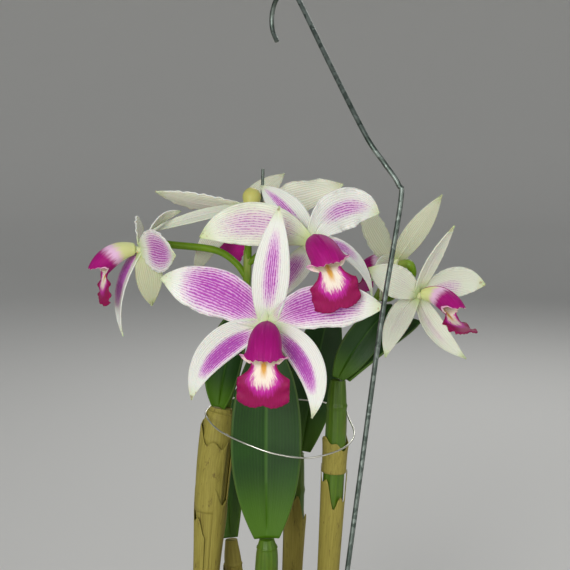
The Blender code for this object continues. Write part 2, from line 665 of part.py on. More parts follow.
def bark():
    """The bark that fills the pot, with a plain hole for each cane and for the stake."""
    edge = BARK_TOP - BARK_EDGE
    wide = inner_radius(edge) - BARK_CLEAR
    rings = [(0, FLOOR + GAP), (inner_radius(FLOOR) - BARK_CLEAR, FLOOR + GAP), (wide, edge)]
    rings += [(wide * share, None) for share in BARK_RINGS]
    shape = bmesh.new()
    rows = []
    for radius, height in rings:
        count = POT_SIDES if radius else 1
        row = []
        for k in range(count):
            angle = 2 * math.pi * k / POT_SIDES
            x, y = radius * math.cos(angle), radius * math.sin(angle)
            z = bark_height(x, y) if height is None else height
            row.append(shape.verts.new((x * MM, y * MM, z * MM)))
        rows.append(row)
    rows.append([shape.verts.new((0, 0, bark_height(0, 0) * MM))])
    for low, high in zip(rows, rows[1:]):
        for k in range(POT_SIDES):
            ring = [low[k % len(low)], low[(k + 1) % len(low)], high[(k + 1) % len(high)], high[k % len(high)]]
            shape.faces.new(list(dict.fromkeys(ring)))
    bmesh.ops.triangulate(shape, faces=shape.faces)
    base = place("bark", mesh_from(shape, "bark"), "bark")
    holes = [sweep(f"hole_{name}", [(x, y, z - GAP * (i == 0), r + GAP) for i, (x, y, z, r) in enumerate(stations)],
                   "bark", steps=2) for name, stations in CANES.items()]
    x, y, z = STAKE[0]
    holes.append(sweep("hole_stake", [(x, y, z - GAP, STAKE_RADIUS + GAP), (*STAKE[1], STAKE_RADIUS + GAP)],
                       "bark", steps=1))
    return combine(base, holes, "DIFFERENCE")


def hanger():
    """Galvanised wire: a clip over the rim, the shaft, one bend, and an open hook at the top."""
    bearing = math.radians(HANGER_BEARING)
    over = POT_HEIGHT + GAP + HANGER_RADIUS
    across, down = HANGER_CORNER

    def rim(radius, height):
        return (radius * math.cos(bearing), radius * math.sin(bearing), height)

    middle = (HANGER_OUTSIDE + HANGER_SHAFT) / 2
    route = [rim(HANGER_PRONG, HANGER_TIP), rim(HANGER_PRONG, over - down), rim(HANGER_PRONG + across, over),
             rim(HANGER_OUTSIDE - across, over), rim(HANGER_OUTSIDE, over - down),
             rim(HANGER_OUTSIDE, HANGER_LOOP + across), rim(middle, HANGER_LOOP),
             rim(HANGER_SHAFT, HANGER_LOOP + across), rim(HANGER_SHAFT, POT_HEIGHT)]
    route += HANGER_ROUTE
    for turn in np.radians(np.linspace(*HOOK_ARC, 7)):
        reach = HOOK_RADIUS * math.cos(turn)
        offset = (reach * HOOK_PLANE[0], reach * HOOK_PLANE[1], HOOK_RADIUS * math.sin(turn))
        route.append(tuple(np.add(HOOK_CENTRE, offset)))
    return sweep("hanger_wire", [(*point, HANGER_RADIUS) for point in route], "wire", steps=2, sides=6)


def stake_and_tie():
    sweep("stake", [(*point, STAKE_RADIUS) for point in STAKE], "wire", steps=2)
    sweep("tie_wire", [(*point, TIE_RADIUS) for point in TIE], "wire", steps=2, sides=6, closed=True)


clear_scene()
pot()
bark()
canes()
leaves()
flower_stem("stem_left", STEM_LEFT, BRANCHES_LEFT)
flower_stem("stem_right", STEM_RIGHT, BRANCHES_RIGHT)
for letter, bloom in BLOOMS.items():
    bloom_tepals(letter, bloom)
    bloom_lip(letter, bloom)
hanger()
stake_and_tie()
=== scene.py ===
"""A cattleya orchid in bloom, in a terracotta pot with a wire hanger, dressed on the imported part.

Metres, +Z up, the front of the plant towards -Y. The plant's sizes and places are written in millimetres, and
MM turns them into metres; angles are written in degrees, and the studio's lamps and camera in metres.
"""

import functools
import math
import random

import bmesh
import bpy
import numpy as np
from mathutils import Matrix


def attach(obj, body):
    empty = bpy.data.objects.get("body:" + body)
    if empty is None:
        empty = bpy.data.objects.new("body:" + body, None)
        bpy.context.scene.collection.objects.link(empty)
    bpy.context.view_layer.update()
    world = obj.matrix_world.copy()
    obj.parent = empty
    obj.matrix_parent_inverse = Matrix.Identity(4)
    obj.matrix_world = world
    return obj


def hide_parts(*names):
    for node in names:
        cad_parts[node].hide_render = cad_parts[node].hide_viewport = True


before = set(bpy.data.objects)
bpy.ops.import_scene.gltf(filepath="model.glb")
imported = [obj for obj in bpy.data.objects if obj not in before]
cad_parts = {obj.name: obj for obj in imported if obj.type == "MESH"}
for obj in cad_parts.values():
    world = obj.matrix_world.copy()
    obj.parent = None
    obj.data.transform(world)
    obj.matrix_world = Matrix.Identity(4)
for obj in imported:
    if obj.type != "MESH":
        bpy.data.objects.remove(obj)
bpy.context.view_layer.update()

MM = 0.001


# The pot: a thrown and fired terracotta pot, 140 mm across at the collar, unglazed.
# It was turned on a wheel, so its corners are soft and fine rings run round it; water leaves pale
# salt on the clay and keeps the foot darker.
POT_HEIGHT, POT_FLOOR, POT_ROUNDING, POT_SIDES = 112.0, 8.0, 1.6, 120
POT_CORNERS = [(0, 0), (47.0, 0), (61.8, 87.6), (62.3, 90.0), (70.0, 91.0), (70.0, POT_HEIGHT),
               (65.0, POT_HEIGHT), (42.4, POT_FLOOR), (0, POT_FLOOR)]
DRAIN_RADIUS, DRAIN_REACH, DRAIN_BEARINGS = 4.5, 24.0, (90, 210, 330)


def linear(colour):
    """An sRGB hex colour as the linear colour that a shader takes."""
    shares = [int(colour[i:i + 2], 16) / 255 for i in (1, 3, 5)]
    return (*[share / 12.92 if share <= 0.04045 else ((share + 0.055) / 1.055) ** 2.4 for share in shares], 1)


def add_node(tree, kind, sockets=None, take=None, **settings):
    """Adds a shader node and gives its output: the one named by take, or else the first in use.

    A socket takes a value, a hex colour or another node's output, and 0 is a node's first one. Mix goes from
    colour 6 to colour 7 by 0, and MapRange takes 0 from the range 1 to 2 into the range 3 to 4.
    """
    made = tree.nodes.new("ShaderNode" + kind)
    if kind == "Mix":
        made.data_type = "RGBA"
    for key, value in settings.items():
        setattr(made, key, value)
    for socket, value in (sockets or {}).items():
        if isinstance(value, bpy.types.NodeSocket):
            tree.links.new(value, made.inputs[socket])
        else:
            made.inputs[socket].default_value = linear(value) if isinstance(value, str) else value
    return made.outputs[take] if take else next(output for output in made.outputs if output.enabled)


def surface_of(name, roughness, ior, **sockets):
    """A new material, its Principled shader with these constant values, and what adds nodes to its tree."""
    material = bpy.data.materials.new(name)
    material.use_nodes = True
    shader = material.node_tree.nodes["Principled BSDF"]
    shader.inputs["Roughness"].default_value = roughness
    shader.inputs["IOR"].default_value = ior
    for key, value in sockets.items():
        shader.inputs[key.replace("_", " ")].default_value = value
    return material, shader, functools.partial(add_node, material.node_tree)


def coat(shader, colour, relief=None):
    """Gives the shader its colour and its fine relief."""
    shader.id_data.links.new(colour, shader.inputs["Base Color"])
    if relief is not None:
        shader.id_data.links.new(relief, shader.inputs["Normal"])


def turned(profile, sides, rounding=0.0, segments=4):
    """A bmesh of a profile of (radius, height) spun round the Z axis, with its corners rounded."""
    shape = bmesh.new()
    corners = [shape.verts.new((radius * MM, 0.0, height * MM)) for radius, height in profile]
    for pair in zip(corners, corners[1:]):
        shape.edges.new(pair)
    if rounding:
        bmesh.ops.bevel(shape, geom=corners[1:-1], offset=rounding * MM, segments=segments, profile=0.5,
                        material=-1, affect="VERTICES")
    bmesh.ops.spin(shape, geom=shape.verts[:] + shape.edges[:], cent=(0, 0, 0), axis=(0, 0, 1),
                   angle=2 * math.pi, steps=sides, use_merge=True)
    bmesh.ops.remove_doubles(shape, verts=shape.verts, dist=1e-6)
    return shape


def placed(name, data):
    """A new object of the scene, made of a mesh, lamp or camera."""
    made = bpy.data.objects.new(name, data)
    bpy.context.scene.collection.objects.link(made)
    return made


def meshed(name, shape):
    """A new object made from a bmesh."""
    mesh = bpy.data.meshes.new(name)
    shape.to_mesh(mesh)
    shape.free()
    return placed(name, mesh)


def finished(name, shape, materials, slot, *nodes, thickness=None):
    """Makes the bmesh one smooth piece that stands still with the pot, in the place of those CAD nodes.

    An open sheet is given its thickness, half to each side, and the last of its materials for its back.
    """
    if thickness is None:
        bmesh.ops.recalc_face_normals(shape, faces=shape.faces)
    piece = meshed(name, shape)
    for material in materials:
        piece.data.materials.append(material)
    piece.data.shade_smooth()
    piece.data.set_sharp_from_angle(angle=math.radians(50))
    if thickness is not None:
        wall = piece.modifiers.new("wall", "SOLIDIFY")
        wall.thickness, wall.offset, wall.material_offset = thickness * MM, 0.0, len(materials) - 1
    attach(piece, "root")
    if nodes:
        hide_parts(*nodes)
    return piece


# A wave texture repeats this many times over one unit at scale 1, and a smooth MapRange eases in and out
WAVES = 3.183
SMOOTH = {"interpolation_type": "SMOOTHSTEP"}

# Unglazed earthenware: dull orange-brown, a little gritty, with turning rings about 1.5 mm apart
terracotta, shader, add = surface_of("terracotta_earthenware", 0.86, 1.52)
place = add("TexCoord", take="Object")
height = add("SeparateXYZ", {0: place}, take="Z")
patches = add("TexNoise", {0: place, "Scale": 1 / 0.030, "Detail": 6.0, "Roughness": 0.62})
grit = add("TexNoise", {0: place, "Scale": 1 / 0.0012, "Detail": 3.0})
rings = add("TexWave", {0: place, "Scale": 1 / (WAVES * 0.0015), "Distortion": 1.2}, take="Fac",
            bands_direction="Z")
salt = add("MapRange", {0: patches, 1: 0.52, 2: 0.70}, **SMOOTH)
damp = add("MapRange", {0: height, 1: 0.050, 2: 0.004}, **SMOOTH)
clay = add("Mix", {0: grit, 6: "#a9552f", 7: "#c4724a"})
wetted = add("Mix", {0: damp, 6: clay, 7: "#8a4527"})
salted = add("Math", {0: salt, 1: 0.42}, operation="MULTIPLY")
crusted = add("Mix", {0: salted, 6: wetted, 7: "#d8b9a0"})
grooves = add("Bump", {"Strength": 0.35, "Distance": 0.0004, "Height": rings})
roughened = add("Bump", {"Strength": 0.5, "Distance": 0.0003, "Height": grit, "Normal": grooves})
coat(shader, crusted, roughened)

pot = finished("pot_clay", turned(POT_CORNERS, POT_SIDES, POT_ROUNDING), [terracotta], "terracotta", "pot")
drills = []
for bearing in np.radians(DRAIN_BEARINGS):
    shape = bmesh.new()
    bmesh.ops.create_cone(shape, cap_ends=True, segments=32, radius1=DRAIN_RADIUS * MM,
                          radius2=DRAIN_RADIUS * MM, depth=5 * POT_FLOOR * MM)
    bmesh.ops.translate(shape, verts=shape.verts, vec=(DRAIN_REACH * math.cos(bearing) * MM,
                                                       DRAIN_REACH * math.sin(bearing) * MM, 0))
    drills.append(meshed("drill", shape))
    cut = pot.modifiers.new("drain", "BOOLEAN")
    cut.operation = "DIFFERENCE"
    cut.object = drills[-1]
bpy.context.view_layer.update()
drilled = bpy.data.meshes.new_from_object(pot.evaluated_get(bpy.context.evaluated_depsgraph_get()))
pot.modifiers.clear()
pot.data = drilled
for drill in drills:
    bpy.data.objects.remove(drill)


# The bark: chips of pine bark, 8 to 20 mm long, tipped into the pot round the canes.
# Each chip was split off in flat layers, so it is wide and thin with torn corners; the ones on top lie
# almost flat, and fine crumbs fill the gaps under them.
CHIPS, BARK_TOP, BARK_RADIUS = 330, 97.5, 61.0
# Half the length, width and thickness of a chip, each from least to most, and how far it tilts in degrees
CHIP_LENGTH, CHIP_WIDTH, CHIP_THICKNESS, CHIP_TILT = (4, 10), (3, 6), (1.3, 2.6), (-26, 26)
# By how much a chip's corners are torn in or out, how high its middle lies, and how clear of a cane it stays
CHIP_TORN, CHIP_LIE, CHIP_ROOM = (0.78, 1.12), (-0.5, 3.2), 4.5
CRUMBS = [(0, 8.4), (41.8, 8.4), (BARK_RADIUS, BARK_TOP - 3), (56, BARK_TOP), (0, BARK_TOP)]
# Each cane as points (x, y, z, radius) from inside the bark to its top
CANES = {
    "cane_left": [(-43, 2, 78, 3.6), (-42.5, 2, 110, 4.6), (-40, 2, 150, 6.0), (-36.5, 3, 195, 7.8),
                  (-33.5, 3.5, 222, 7.6), (-32, 4, 231, 5.4)],
    "cane_middle": [(-11, -12, 78, 3.6), (-11, -12, 104, 4.4), (-10, -13, 135, 5.6), (-9, -14, 160, 5.4),
                    (-9, -14.5, 169, 3.6)],
    "cane_right": [(20, 13, 78, 3.4), (21, 13, 110, 4.2), (24, 12, 170, 5.2), (26, 12, 215, 5.4),
                   (26.5, 12, 234, 4.8), (27, 12.5, 243, 3.8)],
    "cane_back": [(2, 34, 78, 3.4), (3, 34, 110, 4.2), (5, 33, 160, 4.8), (6, 32.5, 193, 4.2),
                  (6, 32.5, 200, 3.2)],
    "cane_old": [(-24, 30, 78, 3.2), (-25, 31, 110, 4.0), (-28, 33, 136, 4.6), (-29, 34, 150, 3.2)],
    "shoot_new": [(36, -18, 80, 3.0), (37, -19, 106, 4.2), (39, -21, 122, 3.2), (40, -22, 134, 0.8)],
}

# Pine bark: dark red-brown inner wood under grey-brown outer flakes, dull and deeply grained
pine_bark, shader, add = surface_of("pine_bark", 0.92, 1.45)
place = add("TexCoord", take="Object")
flakes = add("TexNoise", {0: place, "Scale": 1 / 0.009, "Detail": 5.0, "Roughness": 0.65})
grain = add("TexNoise", {0: place, "Scale": 1 / 0.0011, "Detail": 4.0, "Roughness": 0.7})
shade = add("MapRange", {0: flakes, 1: 0.36, 2: 0.64})
chip_colour = add("Mix", {0: shade, 6: "#3a2116", 7: "#8a6148"})
weathered = add("Mix", {0: grain, 6: chip_colour, 7: "#6b5a4e"})
rough_bark = add("Bump", {"Strength": 0.9, "Distance": 0.0007, "Height": grain})
coat(shader, weathered, rough_bark)

draw = random.Random(11)
shape = turned(CRUMBS, 60)
for _ in range(CHIPS):
    long, wide, thick = (draw.uniform(*span) for span in (CHIP_LENGTH, CHIP_WIDTH, CHIP_THICKNESS))
    reach = (BARK_RADIUS - long) * math.sqrt(draw.random())
    bearing = draw.uniform(0, 2 * math.pi)
    x, y = reach * math.cos(bearing), reach * math.sin(bearing)
    if any(math.hypot(x - stem[1][0], y - stem[1][1]) < stem[1][3] + CHIP_ROOM for stem in CANES.values()):
        continue
    turn, tilt = draw.uniform(0, 2 * math.pi), math.radians(draw.uniform(*CHIP_TILT))
    centre = np.array((x, y, BARK_TOP + draw.uniform(*CHIP_LIE)))
    chip = bmesh.ops.create_icosphere(shape, subdivisions=1, radius=1.0)["verts"]
    for vertex in chip:
        fore, side, rise = (value * draw.uniform(*CHIP_TORN) for value in vertex.co)
        fore, rise = (fore * long * math.cos(tilt) - rise * thick * math.sin(tilt),
                      fore * long * math.sin(tilt) + rise * thick)
        side *= wide
        spun = (fore * math.cos(turn) - side * math.sin(turn),
                fore * math.sin(turn) + side * math.cos(turn), rise)
        vertex.co = (centre + spun) * MM
bark = finished("bark_chips", shape, [pine_bark], "bark", "bark")
bark.data.set_sharp_from_angle(angle=math.radians(22))


# The canes: swollen upright stems, 7 to 15 mm thick, fleshy and finely ribbed, with a ring at each node.
# Each internode grew inside a leaf sheath that dries to thin straw-coloured paper; the left cane is old
# enough to be wrapped in it to the top, and the green ones keep it only low down.
SHEATH_LIFT, PAPER_THICKNESS = 0.8, 0.25


def unit(value):
    """The value, held between 0 and 1."""
    return np.clip(value, 0, 1)


def along_route(stations, places, closed=False):
    """Points (x, y, z, radius) on a smooth curve through the stations, at places from 0 to 1."""
    rows = np.array(stations, float)
    if closed:
        rows = np.vstack([rows, rows[0]])
        padded = np.vstack([rows[-2], rows, rows[1]])
    else:
        padded = np.vstack([2 * rows[0] - rows[1], rows, 2 * rows[-1] - rows[-2]])
    where = unit(places) * (len(rows) - 1)
    first = np.minimum(where.astype(int), len(rows) - 2)
    share = (where - first)[:, None]
    before, start, end, after = (padded[first + k] for k in range(4))
    return 0.5 * (2 * start + (end - before) * share
                  + (2 * before - 5 * start + 4 * end - after) * share ** 2
                  + (3 * start - before - 3 * end + after) * share ** 3)


def round_surface(stations, relief=None, closed=False, cap=0.0):
    """A function from (along, around) to points on a round stem; around runs from -1 to 1."""
    steps = 480
    route = along_route(stations, np.linspace(0, 1, steps + 1), closed)
    ahead = np.gradient(route[:, :3], axis=0)
    ahead /= np.linalg.norm(ahead, axis=1)[:, None]
    side = np.zeros_like(ahead)
    hint = np.array((0.0, 1.0, 0.0)) if abs(ahead[0][1]) < 0.8 else np.array((1.0, 0.0, 0.0))
    for i in range(steps + 1):
        hint = hint - ahead[i] * (hint @ ahead[i])
        hint /= np.linalg.norm(hint)
        side[i] = hint
    frames = np.hstack([route, side, np.cross(ahead, side)])

    def surface(along, around):
        body = unit((along - cap) / (1 - 2 * cap))
        here = np.stack([np.interp(body, np.linspace(0, 1, steps + 1), column) for column in frames.T], -1)
        angle = math.pi * around
        radius = here[:, 3] + (relief(body, angle) if relief else 0.0)
        if cap:
            radius = radius * np.sqrt(unit(np.minimum(along, 1 - along) / cap))
        return (here[:, :3] + (radius * np.cos(angle))[:, None] * here[:, 4:7]
                + (radius * np.sin(angle))[:, None] * here[:, 7:10])

    return surface


def lay_grid(shape, rows, columns, surface):
    """Adds a flat grid, keeps (along, across) as its UVs and moves its points onto the surface."""
    made = bmesh.ops.create_grid(shape, x_segments=rows, y_segments=columns, size=0.5)["verts"]
    flat = np.array([vertex.co for vertex in made])
    along, across = unit(flat[:, 0] + 0.5), np.clip(2 * flat[:, 1], -1, 1)
    layer = shape.loops.layers.uv.get("grown") or shape.loops.layers.uv.new("grown")
    for vertex, u, v, point in zip(made, along, across, surface(along, across) * MM):
        for loop in vertex.link_loops:
            loop[layer].uv = (u, (v + 1) / 2)
        vertex.co = point
    return made, along, across


def round_stem(shape, stations, rows, columns, relief=None, closed=False):
    """Adds a round stem along the stations, with domed ends, or closed to a ring."""
    surface = round_surface(stations, relief, closed, 0.0 if closed else 2 / rows)
    bmesh.ops.remove_doubles(shape, verts=lay_grid(shape, rows, columns, surface)[0], dist=1e-6)


# Living cane: waxy green skin with faint long streaks, yellowed in blotches where it has ripened
green_cane, shader, add = surface_of("living_green_cane", 0.42, 1.45)
grown = add("UVMap", uv_map="grown")
long_streaks = add("Mapping", {0: grown, "Scale": (2.5, 22.0, 1.0)})
streaks = add("TexNoise", {0: long_streaks, "Scale": 1.0, "Detail": 3.0})
place = add("TexCoord", take="Object")
blotches = add("TexNoise", {0: place, "Scale": 1 / 0.014, "Detail": 3.0})
lit = add("Mix", {0: streaks, 6: "#2a4a06", 7: "#5f8212"})
tinted = add("MapRange", {0: blotches, 1: 0.45, 2: 0.75, 4: 0.6})
ripened = add("Mix", {0: tinted, 6: lit, 7: "#6f7218"})
ribbed = add("Bump", {"Strength": 0.4, "Distance": 0.0003, "Height": streaks})
coat(shader, ripened, ribbed)

# Dry leaf sheath: papery straw-brown, with fibres about 1 mm apart and dark splits between them
dry_sheath, shader, add = surface_of("dry_papery_sheath", 0.68, 1.4)
grown = add("UVMap", uv_map="grown")
long_fibres = add("Mapping", {0: grown, "Scale": (3.0, 46.0, 1.0)})
fibres = add("TexNoise", {0: long_fibres, "Scale": 1.0, "Detail": 4.0, "Roughness": 0.6})
wide_splits = add("Mapping", {0: grown, "Scale": (5.0, 16.0, 1.0)})
splits = add("TexNoise", {0: wide_splits, "Scale": 1.0, "Detail": 5.0, "Roughness": 0.7})
straw = add("Mix", {0: fibres, 6: "#6f6420", 7: "#b3a850"})
torn = add("MapRange", {0: splits, 1: 0.56, 2: 0.68, 4: 0.8}, **SMOOTH)
aged = add("Mix", {0: torn, 6: straw, 7: "#5b4420"})
frayed = add("Bump", {"Strength": 0.7, "Distance": 0.0004, "Height": fibres})
coat(shader, aged, frayed)


def cane_relief(nodes, ribs):
    """Fine ribs along a cane or a stem, which turn a little on the way up, and a ring at each node."""
    def relief(along, angle):
        ring = sum(np.exp(-((along - place) / 0.012) ** 2) for place in nodes)
        return 0.14 * np.cos(ribs * angle + 3 * along) + 0.45 * ring
    return relief


CANE_RIBS = 13
# How far up each cane its nodes sit, from 0 to 1
CANE_NODES = {"cane_left": (0.3, 0.52, 0.74, 0.93), "cane_middle": (0.35, 0.6, 0.85),
              "cane_right": (0.3, 0.52, 0.74), "cane_back": (0.35, 0.62, 0.88), "cane_old": (0.4, 0.68),
              "shoot_new": (0.5, 0.72)}
for name, stations in CANES.items():
    shape = bmesh.new()
    round_stem(shape, stations, 120, 44, cane_relief(CANE_NODES[name], CANE_RIBS))
    dry = name in ("cane_left", "cane_old")
    skin, slot = (dry_sheath, "cane_brown") if dry else (green_cane, "cane_green")
    finished(f"{name}_skin", shape, [skin], slot, name)

# Loose sheaths, each wrapped round its cane from one place up to another, with its edges apart, and its torn
# top standing off by the last number
SHEATHS = [("cane_left", 0.30, 0.56, 0.4), ("cane_left", 0.52, 0.80, 0.5), ("cane_right", 0.28, 0.50, 0.5),
           ("cane_right", 0.50, 0.59, 0.6), ("cane_middle", 0.32, 0.62, 0.5), ("cane_back", 0.30, 0.60, 0.5),
           ("cane_old", 0.36, 0.66, 0.5), ("shoot_new", 0.30, 0.62, 0.3)]
shape = bmesh.new()
for number, (name, low, high, flare) in enumerate(SHEATHS):
    def wrapped(along, around):
        tear = 0.16 * np.sin(5 * around + number) + 0.07 * np.sin(17 * around + 2 * number)
        rise = low + (high - low) * along * (0.86 + tear)
        lifted = lambda body, angle: SHEATH_LIFT + flare * along ** 3 * (1 + 0.3 * np.sin(7 * angle))
        return round_surface(CANES[name], lifted)(rise, around * 0.93 + 0.31 * number)

    lay_grid(shape, 24, 40, wrapped)
finished("loose_sheaths", shape, [dry_sheath], "cane_brown", thickness=PAPER_THICKNESS)


# The leaves: thick leathery blades, each grown from the top of its cane, folded along the midrib.
# Dark waxy green, lighter near the base, with fine parallel veins and a thin pale edge.
TIP_WIDTH, LEAF_THICKNESS, LEAF_VEINS, LEAF_GROOVE = 0.7, 1.2, 0.05, 1.1
# Of each kind of blade: its width at the base, where it is widest, and how full and how pointed its end is
OUTLINES = {
    "sepal": {"base": 0.42, "widest": 0.42, "power": 1.9, "point": 1.0},
    "lateral": {"base": 0.42, "widest": 0.40, "power": 1.9, "point": 1.0},
    "petal": {"base": 0.22, "widest": 0.52, "power": 2.1, "point": 0.95},
    "leaf": {"base": 0.36, "widest": 0.46, "power": 2.4, "point": 0.8},
}


def blade(turn, length, width, pitch, yaw, **more):
    """One leaf, sepal or petal: which way it turns from upright, its size, and how its midrib bends."""
    return {"turn": turn, "length": length, "width": width, "pitch": pitch, "yaw": yaw, **more}


# Each leaf: where it starts, the way that its plant axis faces, and its blade
LEAVES = {
    "leaf_left": ((-33, 0.5, 231.6), (-20, -8, 0), blade(10, 54, 21, (2, -16), 10, cup=0.9)),
    "leaf_middle": ((-9, -14.5, 168.8), (2, 3, 0), blade(-1, 102, 35, (2, -4), 3, cup=0.35)),
    "leaf_right": ((26.5, 9.6, 244.1), (4, -4, 0), blade(26, 47, 18, (0, -20), 24, cup=0.5)),
    "leaf_right_arm": ((30.5, 13, 242.9), (14, 10, 0), blade(34, 52, 15, (2, -6), 46, cup=0.6, twist=28)),
    "leaf_back": ((9, 30.6, 199.9), (0, 0, 0), blade(8, 84, 25, (0, -12), 6, cup=0.4)),
    "leaf_back_left": ((3.5, 35, 199.7), (-12, -4, 0), blade(-12, 80, 25, (-12, -10), -8, cup=0.4)),
    "leaf_old": ((-29, 34.5, 150.3), (-30, 0, 0), blade(-16, 92, 26, (-14, -40), -10, cup=0.4)),
}


def axes_of(facing):
    """Forward, up and right of a leaf or flower that faces that way (azimuth, elevation, roll)."""
    azimuth, elevation, roll = (math.radians(angle) for angle in facing)
    forward = np.array([math.sin(azimuth) * math.cos(elevation),
                        -math.cos(azimuth) * math.cos(elevation), math.sin(elevation)])
    upright = np.array([-math.sin(azimuth) * math.sin(elevation),
                        math.cos(azimuth) * math.sin(elevation), math.cos(elevation)])
    across = np.cross(upright, forward)
    return (forward, upright * math.cos(roll) + across * math.sin(roll),
            across * math.cos(roll) - upright * math.sin(roll))


def half_width(along, width, base, widest, power, point):
    """Half the width of a blade at each place along it, from 0 at its base to 1 at its tip."""
    rising = base + (1 - base) * (1 - (1 - unit(along / widest)) ** 2)
    narrowing = unit(1 - unit((along - widest) / (1 - widest)) ** power) ** point
    return np.maximum(width / 2 * np.where(along < widest, rising, narrowing), TIP_WIDTH / 2)


def blade_surface(kind, start, axes, blade, offset, lift=0.0, veins=0.06, groove=0.5, frill=0.0):
    """A function from (along, across) to points on one blade, which starts offset outward and lifted forward.

    Its midrib bends by pitch and yaw, and its section is cupped, veined, grooved at the midrib, waved by
    its wave and frilled at the edge.
    """
    forward, up, right = axes
    turn = math.radians(blade["turn"])
    outward = up * math.cos(turn) + right * math.sin(turn)
    sideways = right * math.cos(turn) - up * math.sin(turn)
    steps = 96
    middles = (np.arange(steps) + 0.5) / steps
    pitch = np.radians(blade["pitch"][0] + blade["pitch"][1] * middles)
    yaw = np.radians(blade["yaw"] * middles)
    heading = (np.outer(np.cos(pitch) * np.cos(yaw), outward) + np.outer(np.sin(pitch), forward)
               + np.outer(np.cos(pitch) * np.sin(yaw), sideways))
    places = np.array(start) + np.vstack([np.zeros(3), np.cumsum(heading, axis=0)]) * blade["length"] / steps
    outline = dict(OUTLINES[kind])
    widest = outline.pop("widest")
    cup, wave, skew = blade.get("cup", 0.25), blade.get("wave", 0.0), blade.get("skew", 0.0)
    twist = math.radians(blade.get("twist", 0.0))

    def surface(along, across):
        line = np.stack([np.interp(along, np.linspace(0, 1, steps + 1), places[:, i]) for i in range(3)], -1)
        pitch = np.radians(blade["pitch"][0] + blade["pitch"][1] * along)[:, None]
        yaw = np.radians(blade["yaw"] * along)[:, None]
        ahead = np.cos(pitch) * (np.cos(yaw) * outward + np.sin(yaw) * sideways) + np.sin(pitch) * forward
        flat_side = np.cos(yaw) * sideways - np.sin(yaw) * outward
        flat_face = np.cross(flat_side, ahead)
        side = flat_side * math.cos(twist) + flat_face * math.sin(twist)
        face = flat_face * math.cos(twist) - flat_side * math.sin(twist)
        half = np.where(across > 0, half_width(along, blade["width"], widest=widest + skew, **outline),
                        half_width(along, blade["width"], widest=widest - skew, **outline))
        fade = np.sqrt(np.sin(math.pi * along))
        sway = np.sin(2 * math.pi * (3 * along + 0.31 * np.sign(across))) * fade
        curl = (np.sin(2 * math.pi * (8.5 * along + 0.17 * np.sign(across)))
                * np.sin(2 * math.pi * (2.3 * along + 0.4 * np.sign(across))) * fade)
        out = half * np.sin(cup * across) / cup
        rise = half * (1 - np.cos(cup * across)) / cup + wave * np.abs(across) ** 3 * sway
        rise += frill * np.abs(across) ** 7 * curl + veins * np.cos(9 * math.pi * across) * fade
        rise -= groove * np.exp(-(across / 0.06) ** 2) * (1 - along) * unit(along / 0.1)
        return line + offset * outward + lift * forward + out[:, None] * side + rise[:, None] * face

    return surface


# Living leaf: waxed leathery skin, veins about 1.5 mm apart, a pale line along the midrib and the edge
leaf_skin, shader, add = surface_of("leathery_leaf", 0.5, 1.42)
grown = add("UVMap", uv_map="grown")
vein_lines = add("TexWave", {0: grown, "Scale": 22 / WAVES, "Distortion": 0.8}, take="Fac",
                 bands_direction="Y")
place = add("TexCoord", take="Object")
mottle = add("TexNoise", {0: place, "Scale": 1 / 0.016, "Detail": 4.0})
across = add("SeparateXYZ", {0: grown}, take="Y")
off_middle = add("Math", {0: across, 1: 0.5}, operation="SUBTRACT")
from_middle = add("Math", {0: off_middle}, operation="ABSOLUTE")
rib_line = add("MapRange", {0: from_middle, 1: 0.035, 2: 0.008, 4: 0.45})
edge_line = add("MapRange", {0: from_middle, 1: 0.47, 2: 0.5, 4: 0.35})
deep = add("Mix", {0: mottle, 6: "#0a2a00", 7: "#1f4c00"})
veined = add("MapRange", {0: vein_lines, 1: 0.6, 2: 1.0, 4: 0.18})
lined = add("Mix", {0: veined, 6: deep, 7: "#285808"})
ribbed = add("Mix", {0: rib_line, 6: lined, 7: "#4f7a2a"})
edged = add("Mix", {0: edge_line, 6: ribbed, 7: "#6f8a3a"})
outward = add("SeparateXYZ", {0: grown}, take="X")
young = add("MapRange", {0: outward, 1: 0.38, 2: 0.04, 4: 0.75}, **SMOOTH)
footed = add("Mix", {0: young, 6: edged, 7: "#4c7506"})
leathery = add("Bump", {"Strength": 0.15, "Distance": 0.0002, "Height": vein_lines})
coat(shader, footed, leathery)

for name, (start, facing, form) in LEAVES.items():
    shape = bmesh.new()
    surface = blade_surface("leaf", start, axes_of(facing), form, LEAF_THICKNESS / 2, veins=LEAF_VEINS,
                            groove=LEAF_GROOVE)
    lay_grid(shape, 60, 24, surface)
    bmesh.ops.reverse_faces(shape, faces=shape.faces)
    finished(f"{name}_blade", shape, [leaf_skin], "leaf", name, thickness=LEAF_THICKNESS)


# The flower stems: two juicy green stems from the cane tops, with a bent stalk to each flower.
# A stalk swells into the ribbed ovary just behind its flower, and a ring marks each node of a stem.
STEM_NODES, STEM_RIBS, OVARY_RIBS = (0.33, 0.62), 6, 6
